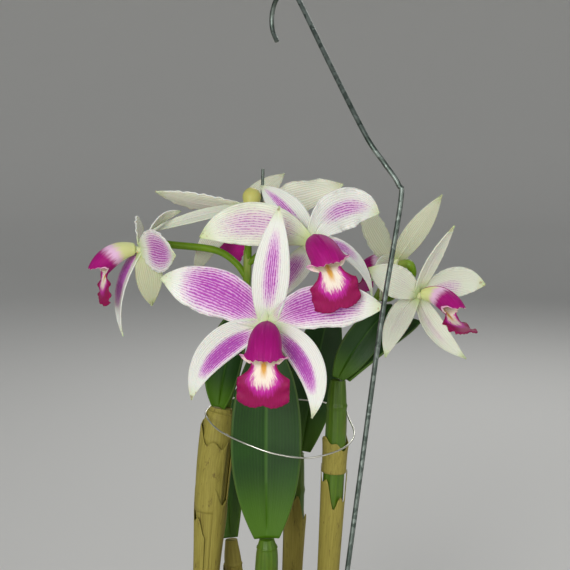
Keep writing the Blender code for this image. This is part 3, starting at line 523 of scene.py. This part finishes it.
# Each stem, and the stalk to each of its flowers, as points (x, y, z, radius)
STEMS = {
    "stem_left": ([(-29.5, 7.5, 230.85, 2.3), (-24, 8, 262, 2.1), (-19.5, 8, 290, 2), (-18.5, 8, 310, 1.9)], {
        "a": [(-19, 8, 286, 1.7), (-14, -4, 289, 1.6), (-9, -22, 285, 1.9)],
        "b": [(-18.6, 8, 303, 1.7), (-9, 5, 311, 1.6), (3, -4, 316, 1.9)],
        "c": [(-18.5, 8, 306, 1.9), (-18, 7, 320, 1.8), (-17.5, 9, 331.0, 3.0), (-16.6, 11.5, 336.4, 4.6)],
        "d": [(-19, 8, 296, 1.7), (-25, 9, 304, 1.7), (-35, 9, 310, 1.8), (-54, 8, 312.5, 1.9)],
    }),
    "stem_right": ([(26, 15.4, 244.2, 2.2), (34, 23, 259, 2.0), (46, 33, 278, 1.9), (51, 37, 287, 1.8)], {
        "e": [(49, 35.6, 282, 1.6), (54.5, 29.5, 282.5, 1.6)],
        "f": [(51, 37, 286, 1.6), (59, 35.5, 287, 1.5), (66.2, 31, 293.5, 1.6)],
    }),
}
# Each flower: centre, facing (azimuth, elevation, roll) and size
FLOWERS = {
    "a": ((-8, -45, 281), (-2, -6, 2), 1.0), "b": ((11.8, -34, 317.8), (14, 0, -14), 0.95),
    "c": ((-19, 24, 331), (180, -34, -40), 0.75), "d": ((-71, 4, 311.5), (-66, -8, 0), 0.82),
    "e": ((67, 14, 287), (46, -20, 6), 0.82), "f": ((58, 36, 300), (-130, 0, 0), 0.7),
}
# A flower's heart stands this far back and is this deep and wide, and its ovary reaches this far behind
HEART_BACK, HEART_DEPTH, HEART_RADIUS, OVARY_BACK = 1.0, 2.4, 4.0, 6.0

# Living stalk: smooth juicy green with tiny darker flecks, paler where it swells behind a flower
green_stalk, shader, add = surface_of("juicy_green_stalk", 0.46, 1.38, Subsurface_Weight=0.15,
                                      Subsurface_Scale=0.001)
place = add("TexCoord", take="Object")
tone = add("TexNoise", {0: place, "Scale": 1 / 0.011, "Detail": 3.0})
fleck = add("TexNoise", {0: place, "Scale": 1 / 0.0009})
fresh = add("Mix", {0: tone, 6: "#456c00", 7: "#7c9f08"})
dark_flecks = add("MapRange", {0: fleck, 1: 0.62, 2: 0.72, 4: 0.5})
flecked = add("Mix", {0: dark_flecks, 6: fresh, 7: "#3f6a1a"})
height = add("SeparateXYZ", {0: place}, take="Z")
ripening = add("MapRange", {0: height, 1: 0.326, 2: 0.334}, **SMOOTH)
outward = add("SeparateXYZ", {0: add("UVMap", uv_map="grown")}, take="X")
swelling = add("MapRange", {0: outward, 1: 0.66, 2: 0.92, 4: 0.7}, **SMOOTH)
swollen = add("Mix", {0: swelling, 6: flecked, 7: "#9aa556"})
ripe = add("Mix", {0: ripening, 6: swollen, 7: "#c4c06a"})
coat(shader, ripe)

for name, (stem, stalks) in STEMS.items():
    shape = bmesh.new()
    round_stem(shape, stem, 80, 20, cane_relief(STEM_NODES, STEM_RIBS))
    for letter, stations in stalks.items():
        at, facing, size = FLOWERS[letter]
        forward = axes_of(facing)[0]
        back = np.array(at) - ((HEART_BACK + HEART_DEPTH) * size + 0.3) * forward
        ovary = [(*(back - OVARY_BACK * forward), 2.3), (*back, 2.0)]
        grooved = lambda along, angle: 0.16 * np.cos(OVARY_RIBS * angle) * unit(3 * along - 1.6)
        round_stem(shape, stations + ovary, 72, 20, grooved)
    finished(f"{name}_green", shape, [green_stalk], "stem", name)


# The tepals: three narrow sepals and two broad petals to a flower, white and waxy with purple veins.
# Each is a thin blade of living tissue. Purple runs in netted lines along the veins, densest in a band,
# and stops short of the edge and the tip; the back is plainer, greenish cream.
TEPAL_THICKNESS, PETAL_FRILL, SEPAL_FRILL = 0.6, 0.6, 0.1
TEPAL_KINDS = ("sepal", "petal", "petal", "lateral", "lateral")
# Each tepal ends with its purple: strength, place across, spread, and where it starts and stops along
TEPALS = {
    "a": [(blade(1.5, 55, 17, (11, -20), 5, cup=0.35), (0.80, 0.0, 0.42, 0.12, 0.84)),
          (blade(54, 54, 21, (5, -14), 50, wave=1.1, skew=0.08), (0.90, -0.12, 0.86, 0.05, 0.86)),
          (blade(-47.5, 54, 23, (0, -14), -43.5, wave=1.2, skew=-0.1), (0.98, 0.10, 0.92, 0.05, 0.84)),
          (blade(104, 50, 14.5, (18, 2), 94), (1.25, 0.36, 0.46, 0.10, 0.80)),
          (blade(-97, 51, 15.5, (8, 2), -79), (1.25, -0.36, 0.46, 0.10, 0.80))],
    "b": [(blade(-12, 42, 15, (-34, -24), -17), (0.78, 0.0, 0.30, 0.2, 0.95)),
          (blade(40, 46, 20, (-26, 14), 94, wave=1.0), (0.66, 0.0, 0.42, 0.22, 0.90)),
          (blade(-40, 53, 20, (-4, -5), -66, wave=1.0), (0.52, 0.0, 0.72, 0.10, 0.88)),
          (blade(104, 42, 13, (-9, 20), 84, twist=55), (0.85, -0.3, 0.5, 0.1, 0.6)),
          (blade(-150, 44, 14, (-52, 20), 4), (0.85, 0.2, 0.7, 0.15, 0.95))],
    "c": [(blade(18, 42, 13, (30, 0), -17), (0.5, 0.0, 0.4, 0.2, 0.8)),
          (blade(132, 47, 15, (0, -10), -20, twist=86), (0.7, 0.0, 0.7, 0.2, 0.85)),
          (blade(-41, 49, 18, (-7, -4), 2, wave=1.2), (0.6, 0.0, 0.7, 0.2, 0.85)),
          (blade(157, 57, 9.5, (-27, 66), -27, twist=155), (0.25, 0.3, 0.5, 0.1, 0.8)),
          (blade(165, 46, 13.5, (6, 28), 33, twist=48), (0.6, -0.3, 0.5, 0.1, 0.8))],
    "d": [(blade(4.5, 29, 10, (-35, -50), -57, twist=9), (0.6, 0.0, 0.5, 0.2, 0.8)),
          (blade(86, 42, 21, (-6, 0), 8), (0.85, 0.0, 0.8, 0.2, 0.95)),
          (blade(-78, 40, 20, (-19, -4), -10), (0.8, 0.0, 0.7, 0.2, 0.85)),
          (blade(131, 42, 14, (5, 15), -19, twist=-120, green=0.6), (0.6, 0.2, 0.6, 0.1, 0.7)),
          (blade(-167, 46, 14, (47, -54), -17), (1.1, 0.35, 0.6, 0.0, 0.7))],
    "e": [(blade(-16, 42, 13, (8, 9), 16), (0.25, 0.0, 0.4, 0.1, 0.8)),
          (blade(60, 44, 16, (2, 22), 34, twist=20), (0.50, 0.3, 0.5, 0.1, 0.7)),
          (blade(-71, 40, 16, (-5, -13), -6), (0.22, 0.0, 0.6, 0.1, 0.7)),
          (blade(146, 46, 12, (18, 25), -31, cup=0.5), (0.35, 0.2, 0.4, 0.1, 0.8)),
          (blade(-142, 36, 13, (-5, 30), -22, twist=-42), (0.25, -0.1, 0.5, 0.1, 0.8))],
    "f": [(blade(6, 46, 13, (-40, 4), -8, twist=40), (0.25, 0.0, 0.4, 0.1, 0.8)),
          (blade(47, 42, 17, (-4, 16), -14), (0.35, 0.0, 0.4, 0.1, 0.8)),
          (blade(-93, 38, 17, (22, 0), -30), (0.50, 0.0, 0.5, 0.1, 0.8)),
          (blade(86, 36, 12, (-12, -6), 24), (0.9, -0.2, 0.4, 0.1, 0.8)),
          (blade(122, 27, 10, (-15, 8), 12), (0.3, 0.0, 0.4, 0.1, 0.8))],
}

# Living petal: cool white with a soft waxy glow; purple nets follow veins about 1 mm apart
petal_face, shader, add = surface_of("white_petal_purple_veins", 0.46, 1.4, Subsurface_Weight=0.12,
                                     Subsurface_Scale=0.0012, Sheen_Weight=0.12, Sheen_Roughness=0.4)
grown = add("UVMap", uv_map="grown")
flush, greening = (add("Attribute", take="Fac", attribute_name=name) for name in ("flush", "greening"))
lines = add("TexWave", {0: grown, "Scale": 17 / WAVES, "Distortion": 3.4, "Detail": 2.5, "Detail Scale": 1.5},
            take="Fac", bands_direction="Y")
net_places = add("Mapping", {0: grown, "Scale": (40.0, 22.0, 1.0)})
net = add("TexNoise", {0: net_places, "Scale": 1.0, "Detail": 3.0, "Roughness": 0.65})
line_share = add("Math", {0: lines, 1: 0.62}, operation="MULTIPLY")
net_share = add("Math", {0: net, 1: 1.5, 2: line_share}, operation="MULTIPLY_ADD")
density = add("Math", {0: net_share, 1: flush})
inked = add("MapRange", {0: density, 1: 1.48, 2: 2.18, 4: 0.92}, **SMOOTH)
washed = add("MapRange", {0: flush, 1: 0.12, 2: 0.95, 4: 0.80}, **SMOOTH)
ground = add("Mix", {0: greening, 6: "#eeefe6", 7: "#cddc98"})
vein_share = add("MapRange", {0: lines, 1: 0.5, 2: 1.0, 4: 0.30})
veined = add("Mix", {0: vein_share, 6: ground, 7: "#b3b8a2"})
wash = add("Mix", {0: washed, 6: veined, 7: "#dc92da"})
ink = add("Mix", {0: inked, 6: wash, 7: "#a81fa6"})
place = add("TexCoord", take="Object")
wear = add("TexNoise", {0: place, "Scale": 1 / 0.0021, "Detail": 3.0})
outward = add("SeparateXYZ", {0: grown}, take="X")
old_tip = add("MapRange", {0: outward, 1: 0.74, 2: 0.94}, **SMOOTH)
worn = add("Math", {0: wear, 1: old_tip}, operation="MULTIPLY")
specks = add("MapRange", {0: worn, 1: 0.58, 2: 0.66, 4: 0.5}, **SMOOTH)
speckled = add("Mix", {0: specks, 6: ink, 7: "#9c7a42"})
cells = add("TexNoise", {0: place, "Scale": 1 / 0.0007})
raised = add("Bump", {"Strength": 0.35, "Distance": 0.00025, "Height": lines})
waxy = add("Bump", {"Strength": 0.2, "Distance": 0.0001, "Height": cells, "Normal": raised})
coat(shader, speckled, waxy)

# The same tissue from behind: cream to yellow-green, with long fine veins and only a breath of purple
petal_back, shader, add = surface_of("cream_petal_back", 0.5, 1.4, Subsurface_Weight=0.12,
                                     Subsurface_Scale=0.0012)
grown = add("UVMap", uv_map="grown")
flush, greening = (add("Attribute", take="Fac", attribute_name=name) for name in ("flush", "greening"))
lines = add("TexWave", {0: grown, "Scale": 13 / WAVES, "Distortion": 1.4}, take="Fac", bands_direction="Y")
line_share = add("MapRange", {0: lines, 1: 0.55, 2: 1.0, 4: 0.42})
breath = add("MapRange", {0: flush, 1: 0.5, 2: 1.2, 4: 0.34})
ground = add("Mix", {0: greening, 6: "#e4e5d3", 7: "#c2ca92"})
lined = add("Mix", {0: line_share, 6: ground, 7: "#a9ab74"})
tinged = add("Mix", {0: breath, 6: lined, 7: "#c48cc6"})
raised = add("Bump", {"Strength": 0.4, "Distance": 0.00025, "Height": lines})
coat(shader, tinged, raised)

# The column and the heart of the flower: firm tissue, mottled cream and yellow-green
heart_tissue, shader, add = surface_of("cream_column", 0.42, 1.4, Subsurface_Weight=0.15,
                                       Subsurface_Scale=0.001)
place = add("TexCoord", take="Object")
tone = add("TexNoise", {0: place, "Scale": 1 / 0.004, "Detail": 3.0})
firm = add("Mix", {0: tone, 6: "#cfd68c", 7: "#f2efd6"})
coat(shader, firm)

for letter, tepals in TEPALS.items():
    at, facing, size = FLOWERS[letter]
    axes = axes_of(facing)
    shape = bmesh.new()
    flush_layer = shape.verts.layers.float.new("flush")
    green_layer = shape.verts.layers.float.new("greening")
    for kind, (form, (strength, middle, spread, first, last)) in zip(TEPAL_KINDS, tepals):
        lift, frill = (size, PETAL_FRILL) if kind == "petal" else (0.0, SEPAL_FRILL)
        surface = blade_surface(kind, at, axes, form, 1.2 * size, lift, frill=frill)
        made, along, across = lay_grid(shape, 54, 26, surface)
        ends = unit((along - first) / 0.22) * unit((last - along) / 0.24)
        flushed = strength * np.exp(-(np.abs(across - middle) / (1.12 * spread)) ** 3) * np.sqrt(ends)
        green = 0.75 * unit((along - 0.86) / 0.14) + 0.9 * unit(1 - along / 0.18)
        for vertex, purple, tip in zip(made, flushed, green + form.get("green", 0.25 * (strength < 0.6))):
            vertex[flush_layer] = purple
            vertex[green_layer] = min(tip, 1.0)
    bmesh.ops.reverse_faces(shape, faces=shape.faces)
    finished(f"tepals_{letter}", shape, [petal_face, petal_back], "petal", f"bloom_{letter}_tepals",
             thickness=TEPAL_THICKNESS)


# The lip: the third petal, rolled round the column into a hood, with a broad front lobe that hangs.
# Velvety magenta outside; the throat inside is white and yellow, and its pale patch breaks into rays on
# the front lobe. The edge is finely frilled.
LIP_START, LIP_CLEAR, LIP_THICKNESS, LIP_TUBE, LIP_APRON, LIP_HALF_WIDTH = 3.8, 0.7, 0.5, 24.5, 20.0, 11.5
# The roll's axis rises at its base and falls at its mouth, at these angles, and its hood juts out this far
LIP_RISE, LIP_FALL, LIP_OVERHANG = 12.0, -48.0, 3.4
# Angles round the roll, up from its floor: where the front lobe ends, where the lobes stand off most, and
# where they meet over the column; then by how much they flare and draw back there
LIP_JOINT, LIP_CURL, LIP_CLOSED, LIP_FLARE, LIP_DRAWN = 57.0, 88.0, 182.0, 4.2, 3.8
# Half the width and half the height of the roll, at its base and at its mouth
THROAT_START, THROAT_END = (3.2, 3.2), (7.3, 6.2)
ROLL_ROWS, ROLL_COLUMNS, APRON_ROWS, APRON_COLUMNS = 30, 70, 36, 30
# The column: how far along the lip's axis, and how thick
COLUMN = [(-0.25, 1.9), (0.0, 2.2), (0.2, 1.9), (0.45, 1.9), (0.56, 2.2), (0.62, 1.5)]
# The angle to which the front lobe hangs, by how much the whole lip nods up, and how far along from its foot
# the tube is pale
LIPS = {"a": (-94, 0, 0.1), "b": (-92, 0, 0.16), "c": (-40, 0, 0.4), "d": (-80, 0, 0.55), "e": (-20, 22, 0.5),
        "f": (-50, 0, 0.4)}


def nodded(axes, angle):
    """The flower's axes turned up by an angle about their right."""
    forward, up, right = axes
    turn = math.radians(angle)
    return (forward * math.cos(turn) + up * math.sin(turn),
            up * math.cos(turn) - forward * math.sin(turn), right)


def bent_line(bend, length, along):
    """Distance forward and height at places along a line of this length, whose angle follows the bend."""
    steps = 64
    angle = bend((np.arange(steps) + 0.5) / steps)
    return [np.interp(along, np.linspace(0, 1, steps + 1), np.append(0, np.cumsum(run)) * length / steps)
            for run in (np.cos(angle), np.sin(angle))]


def lip_axis(along, size):
    """Distance forward, height and angle of the lip roll's axis, from its base at 0 to its mouth at 1."""
    bend = lambda share: np.radians(LIP_RISE + (LIP_FALL - LIP_RISE) * share)
    ahead, height = bent_line(bend, LIP_TUBE * size, along)
    return ahead + LIP_START * size + LIP_CLEAR, height, bend(along)


def throat(along, size):
    """Half the width and half the height of the roll."""
    return [size * (start + (end - start) * np.sin(0.7 * math.pi * along))
            for start, end in zip(THROAT_START, THROAT_END)]


def roll_surface(at, axes, size):
    """The rolled part of the lip, with its side lobes closed over the column and curled back at the mouth."""
    forward, up, right = axes

    def surface(along, across):
        split = APRON_COLUMNS / ROLL_COLUMNS
        inner = LIP_JOINT * unit(np.abs(across) / split)
        outer = (LIP_CLOSED - LIP_JOINT) * unit((np.abs(across) - split) / (1 - split))
        angle = np.radians(np.sign(across) * (inner + outer))
        ahead, height, slope = lip_axis(along, size)
        wide, tall = throat(along, size)
        opened = unit((along - 0.72) / 0.28) ** 1.8 * unit(outer / 14)
        curled = size * opened * np.exp(-((inner + outer - LIP_CURL) / 30) ** 2)
        flare = LIP_FLARE * curled
        lapped = 0.32 * size * unit((across - 0.93) / 0.07)
        frill = 0.35 * size * opened * (np.sin(across * 60) + np.sin(across * 23))
        hooded = along ** 1.3 * LIP_OVERHANG * size * (1 - np.cos(angle)) / 2
        shift = hooded + frill - LIP_DRAWN * curled * opened
        drop = -(tall + 0.6 * flare) * np.cos(angle)
        fore = ahead + shift * np.cos(slope) - drop * np.sin(slope)
        rise = height + shift * np.sin(slope) + drop * np.cos(slope) + lapped
        side = (wide + flare) * np.sin(angle)
        return np.array(at) + np.outer(fore, forward) + np.outer(rise, up) + np.outer(side, right)

    return surface


def apron_surface(at, axes, size, hang):
    """The broad front lobe: it carries on from the roll's floor, bends down and ends in a notch."""
    forward, up, right = axes
    ahead, height, slope = (value[0] for value in lip_axis(np.ones(1), size))
    wide, tall = (value[0] for value in throat(np.ones(1), size))
    joint = math.radians(LIP_JOINT)

    def bend(share):
        return np.radians(LIP_FALL + (hang - LIP_FALL) * unit(share / 0.6) ** 0.9)

    def surface(along, across):
        # Across the lobe, its end is cut back at the middle and the sides
        notch = 0.07 * np.exp(-(across / 0.22) ** 2)
        teeth = 0.012 * np.sin(across * 47) * along
        reach = along * (1 - 0.16 * np.abs(across) ** 3 - notch + teeth)
        run, drop = bent_line(bend, LIP_APRON * size, reach)
        # Its section goes over from the round floor of the roll to a broad sheet
        blend = unit(along / 0.36)
        start = wide * np.sin(across * joint)
        spread = wide * math.sin(joint)
        full = spread + (LIP_HALF_WIDTH * size - spread) * np.sin(math.pi / 2 * unit(along / 0.4))
        side = start * (1 - blend) + across * full * blend
        lift = tall * (1 - np.cos(across * joint)) * (1 - blend) ** 2 - 0.16 * full * across ** 2 * along
        # Broad waves at its sides, fine ones at its rim, and two low keels that run out of the throat
        grown = unit(3 * along)
        ruffle = size * np.abs(across) ** 4 * np.sin(5 * math.pi * along) * grown
        rim = unit((np.maximum(np.abs(across), along) - 0.8) / 0.2)
        frill = 0.4 * size * rim * np.sin(across * 31 + along * 23) * grown
        keel = 0.5 * size * np.exp(-((np.abs(across) - 0.10) / 0.06) ** 2)
        keel *= unit(1 - along / 0.3) * unit(8 * along)
        over = LIP_OVERHANG * size * (1 - np.cos(across * joint)) / 2 * (1 - blend)
        out = lift + ruffle + frill + keel
        fore = ahead + tall * math.sin(slope) + run + over * math.cos(slope) - out * np.sin(bend(reach))
        rise = height - tall * math.cos(slope) + drop + over * math.sin(slope) + out * np.cos(bend(reach))
        return np.array(at) + np.outer(fore, forward) + np.outer(rise, up) + np.outer(side, right)

    return surface


# Living lip, inner side: crimson magenta velvet; white throat with gold ridges and magenta rays
lip_inside, shader, add = surface_of("magenta_lip_white_throat", 0.6, 1.36, Subsurface_Weight=0.08,
                                     Subsurface_Scale=0.001)
grown = add("UVMap", uv_map="grown")
pale, gold, rim = (add("Attribute", take="Fac", attribute_name=name) for name in ("pale", "gold", "rim"))
ray_places = add("Mapping", {0: grown, "Scale": (5.0, 52.0, 1.0)})
rays = add("TexNoise", {0: ray_places, "Scale": 1.0})
rayed = add("Math", {0: rays, 1: 1.2, 2: pale}, operation="MULTIPLY_ADD")
fringed = add("MapRange", {0: rayed, 1: 0.30, 2: 1.10}, **SMOOTH)
opened = add("MapRange", {0: rayed, 1: 0.98, 2: 1.34}, **SMOOTH)
place = add("TexCoord", take="Object")
velvet = add("TexNoise", {0: place, "Scale": 1 / 0.003, "Detail": 4.0})
deep_share = add("Math", {0: velvet, 1: rays, 2: 0.2}, operation="MULTIPLY_ADD")
deep = add("Mix", {0: deep_share, 6: "#7c003a", 7: "#a80060"})
purpled = add("Mix", {0: fringed, 6: deep, 7: "#c624a0"})
whitened = add("Mix", {0: opened, 6: purpled, 7: "#f6ead6"})
rimmed = add("Mix", {0: rim, 6: whitened, 7: "#e79ccb"})
gilded_share = add("Math", {0: rays, 1: 0.5, 2: gold}, operation="MULTIPLY_ADD")
gilded_mask = add("MapRange", {0: gilded_share, 1: 0.62, 2: 1.1, 4: 0.95})
gilded = add("Mix", {0: gilded_mask, 6: rimmed, 7: "#e0a53a"})
pile = add("Bump", {"Strength": 0.3, "Distance": 0.0002, "Height": rays})
coat(shader, gilded, pile)

# Living lip, outer side: purple magenta with darker veins, paling to cream-green at the foot of the tube
lip_outside, shader, add = surface_of("magenta_lip_outside", 0.58, 1.36, Subsurface_Weight=0.08,
                                      Subsurface_Scale=0.001)
grown = add("UVMap", uv_map="grown")
foot = add("Attribute", take="Fac", attribute_name="foot")
ray_places = add("Mapping", {0: grown, "Scale": (4.0, 60.0, 1.0)})
rays = add("TexNoise", {0: ray_places, "Scale": 1.0})
veined = add("Mix", {0: rays, 6: "#88005a", 7: "#b80086"})
blush = add("Math", {0: rays, 1: 0.4, 2: foot}, operation="MULTIPLY_ADD")
blushed = add("MapRange", {0: blush, 1: 0.24, 2: 0.62}, **SMOOTH)
creamed = add("MapRange", {0: blush, 1: 0.62, 2: 1.0}, **SMOOTH)
pinked = add("Mix", {0: blushed, 6: veined, 7: "#eec4e2"})
footed = add("Mix", {0: creamed, 6: pinked, 7: "#e0e59e"})
pile = add("Bump", {"Strength": 0.3, "Distance": 0.0002, "Height": rays})
coat(shader, footed, pile)

for letter, (hang, nod, paleness) in LIPS.items():
    at, facing, size = FLOWERS[letter]
    axes = nodded(axes_of(facing), nod)
    shape = bmesh.new()
    layers = {name: shape.verts.layers.float.new(name) for name in ("pale", "gold", "rim", "foot")}
    roll, along, across = lay_grid(shape, ROLL_ROWS, ROLL_COLUMNS, roll_surface(at, axes, size))
    lobe_edge = unit((along - 0.80) / 0.20) * unit((np.abs(across) - 0.44) / 0.10)
    lobe_edge *= unit((0.94 - np.abs(across)) / 0.14)
    for vertex, u, v, edge in zip(roll, along, across, lobe_edge):
        vertex[layers["pale"]] = 0.95 - 0.9 * max(abs(v) - 0.92, 0) / 0.08
        vertex[layers["gold"]] = 0.8 * math.exp(-(v / 0.15) ** 2)
        vertex[layers["rim"]] = 0.85 * edge
        vertex[layers["foot"]] = float(unit(1.35 - u / paleness))
    lobe, along, across = lay_grid(shape, APRON_ROWS, APRON_COLUMNS, apron_surface(at, axes, size, hang))
    for vertex, u, v in zip(lobe, along, across):
        patch = 1.0 - 0.75 * math.hypot(v / (0.85 - 0.35 * u), u / 0.66) ** 2.4
        vertex[layers["pale"]] = float(np.clip(patch, -1, 1))
        vertex[layers["gold"]] = 1.3 * math.exp(-(v / 0.24) ** 2) * max(1 - u / 0.5, 0)
    bmesh.ops.remove_doubles(shape, verts=shape.verts, dist=1e-6)
    finished(f"lip_{letter}", shape, [lip_inside, lip_outside], "lip", f"bloom_{letter}_lip",
             thickness=LIP_THICKNESS)

    # The heart: a low dome that the tepals grow from, and the column with its cap inside the hood
    shape = bmesh.new()
    forward, up, right = axes_of(facing)
    dome = bmesh.ops.create_uvsphere(shape, u_segments=28, v_segments=16, radius=size)["verts"]
    for vertex in dome:
        x, y, z = vertex.co
        vertex.co = (np.array(at) + (HEART_DEPTH * z - HEART_BACK * size) * forward
                     + HEART_RADIUS * (x * right + y * up)) * MM
    forward, up, right = axes
    stations = []
    for share, radius in COLUMN:
        ahead, height, slope = (value[0] for value in lip_axis(np.array([max(share, 0.0)]), size))
        back = min(share, 0.0) * 16 * size
        reach, rise = ahead + back * math.cos(slope), height + back * math.sin(slope)
        stations.append((*(np.array(at) + reach * forward + rise * up), radius * size))
    round_stem(shape, stations, 40, 20)
    finished(f"heart_{letter}", shape, [heart_tissue], "petal")


# The stake and the tie ring: thin wires that keep the canes upright.
# The stake is a nearly straight galvanised wire pushed into the bark; the ring is bright plated wire laid
# once round the canes.
STAKE_RADIUS, TIE_RADIUS = 0.8, 0.4
STAKE = [(-13, 17, 80), (-12, 17, 300), (-11, 15, 350)]
TIE = [(-39.6, 3.7, 229), (-38, -8, 228), (-31, -20, 225), (-18, -28, 221), (-4, -31, 217), (12, -30, 215),
       (28, -18, 216), (34.5, -4, 219), (32.4, 10, 224), (30.8, 16, 226.5), (22, 20.5, 229), (4, 21, 231),
       (-18, 22, 232), (-34, 15, 231)]


def wire(name, route, radius, material, node, steps, sides, closed=False):
    """One wire of the plant's, bent along its route."""
    shape = bmesh.new()
    round_stem(shape, [(*point, radius) for point in route], steps, sides, closed=closed)
    finished(name, shape, [material], "wire", node)


# Galvanised steel: dull grey zinc with crystals about 2 mm across, some bright and some dark
zinc, shader, add = surface_of("galvanised_steel", 0.45, 1.5, Metallic=1.0)
place = add("TexCoord", take="Object")
crystals = add("TexVoronoi", {0: place, "Scale": 1 / 0.0022}, take="Color")
crystal = add("SeparateColor", {0: crystals}, take="Red")
weather = add("TexNoise", {0: place, "Scale": 1 / 0.006, "Detail": 4.0})
spangle = add("Mix", {0: crystal, 6: "#525d56", 7: "#8f9992"})
dulled = add("MapRange", {0: weather, 1: 0.5, 2: 0.7, 4: 0.6})
dull = add("Mix", {0: dulled, 6: spangle, 7: "#49544c"})
pitted = add("Bump", {"Strength": 0.5, "Distance": 0.0001, "Height": weather})
coat(shader, dull, pitted)

# Bright plated tie wire: thin, smooth and shiny, with a film of dust that dulls it in places
bright_wire, shader, add = surface_of("bright_plated_wire", 0.28, 1.5, Metallic=1.0)
place = add("TexCoord", take="Object")
dust = add("TexNoise", {0: place, "Scale": 1 / 0.003, "Detail": 3.0})
plated = add("Mix", {0: dust, 6: "#b9b8a8", 7: "#efeee6"})
coat(shader, plated)

wire("stake_wire", STAKE, STAKE_RADIUS, zinc, "stake", 60, 14)
wire("tie_ring", TIE, TIE_RADIUS, bright_wire, "tie_wire", 280, 12, closed=True)


# The hanger: one length of 2.3 mm galvanised wire, bent cold by hand.
# It clips over the pot's rim, runs up in front of the flowers, leans in at one bend and ends in an open hook.
HANGER_RADIUS, HANGER_BEARING = 1.15, math.radians(-74.7)
HANGER_RIM = [(61.4, 104.0), (61.4, 110.45), (63.4, 113.45), (69.5, 113.45), (71.5, 110.45), (71.5, 97.0),
              (73.55, 95.0), (75.6, 97.0), (75.6, 112.0)]
HANGER_SHAFT = [(36, -60, 235), (43, -60, 291), (50, -60, 338), (49, -59.5, 346), (43, -58, 355),
                (35, -55, 367), (20, -32, 399)]
HOOK_CENTRE, HOOK_RADIUS, HOOK_PLANE, HOOK_ARC = (0.6, -1.7, 421.6), 13.0, (-0.542, 0.841), (140, -50)

route = [(radius * math.cos(HANGER_BEARING), radius * math.sin(HANGER_BEARING), height)
         for radius, height in HANGER_RIM] + HANGER_SHAFT
for turn in np.radians(np.linspace(*HOOK_ARC, 7)):
    reach = HOOK_RADIUS * math.cos(turn)
    route.append(tuple(np.add(HOOK_CENTRE, (reach * HOOK_PLANE[0], reach * HOOK_PLANE[1],
                                            HOOK_RADIUS * math.sin(turn)))))
wire("hanger_bent_wire", route, HANGER_RADIUS, zinc, "hanger_wire", 330, 18)


# The studio: a pale floor that rises into a soft wall all round, three large lamps, and the camera where
# the photograph's was, in front of the flowers and looking a little down on them.
FLOOR_PROFILE, FLOOR_ROUNDING = [(0, 0), (2200, 0), (2750, 150), (3050, 600), (3100, 1800)], 200

floor_paint, shader, add = surface_of("pale_floor_paint", 0.8, 1.5, Base_Color=linear("#d9d8d4"))
shape = turned(FLOOR_PROFILE, 96, FLOOR_ROUNDING, segments=5)
bmesh.ops.recalc_face_normals(shape, faces=shape.faces)
floor = meshed("studio_floor", shape)
floor.data.materials.append(floor_paint)
floor.data.shade_smooth()

world = bpy.data.worlds.new("studio")
world.use_nodes = True
sky = world.node_tree.nodes["Background"].inputs
sky["Color"].default_value, sky["Strength"].default_value = linear("#dfe2e6"), 0.36
bpy.context.scene.world = world
bpy.context.scene.view_settings.view_transform = "Standard"

# Each lamp: place, what it points at, size and power in watts
for name, place, target, size, power in (("key", (-0.45, -1.35, 0.70), (0, 0, 0.28), 0.6, 13.5),
                                         ("fill", (1.1, -0.9, 0.55), (0, 0, 0.25), 0.8, 4.5),
                                         ("rim", (0.35, 1.1, 1.1), (0, 0, 0.28), 0.7, 6)):
    lamp = bpy.data.lights.new(name, "AREA")
    lamp.size = size
    lamp.energy = power
    holder = placed(name, lamp)
    holder.location = place
    aim = np.subtract(target, place)
    holder.rotation_euler = (math.pi / 2 + math.atan2(aim[2], math.hypot(aim[0], aim[1])), 0,
                             math.atan2(aim[1], aim[0]) - math.pi / 2)

CAMERA_TARGET, CAMERA_DISTANCE, CAMERA_ELEVATION = (0.0, -0.045, 0.300), 0.50, math.radians(8)
lens = bpy.data.cameras.new("photo_camera")
lens.lens, lens.sensor_width = 70.0, 36.0
lens.clip_start, lens.clip_end = 0.02, 20.0
camera = placed("photo_camera", lens)
camera.location = np.add(CAMERA_TARGET, (0, -CAMERA_DISTANCE * math.cos(CAMERA_ELEVATION),
                                         CAMERA_DISTANCE * math.sin(CAMERA_ELEVATION)))
camera.rotation_euler = (math.pi / 2 - CAMERA_ELEVATION, 0, 0)
bpy.context.scene.camera = camera
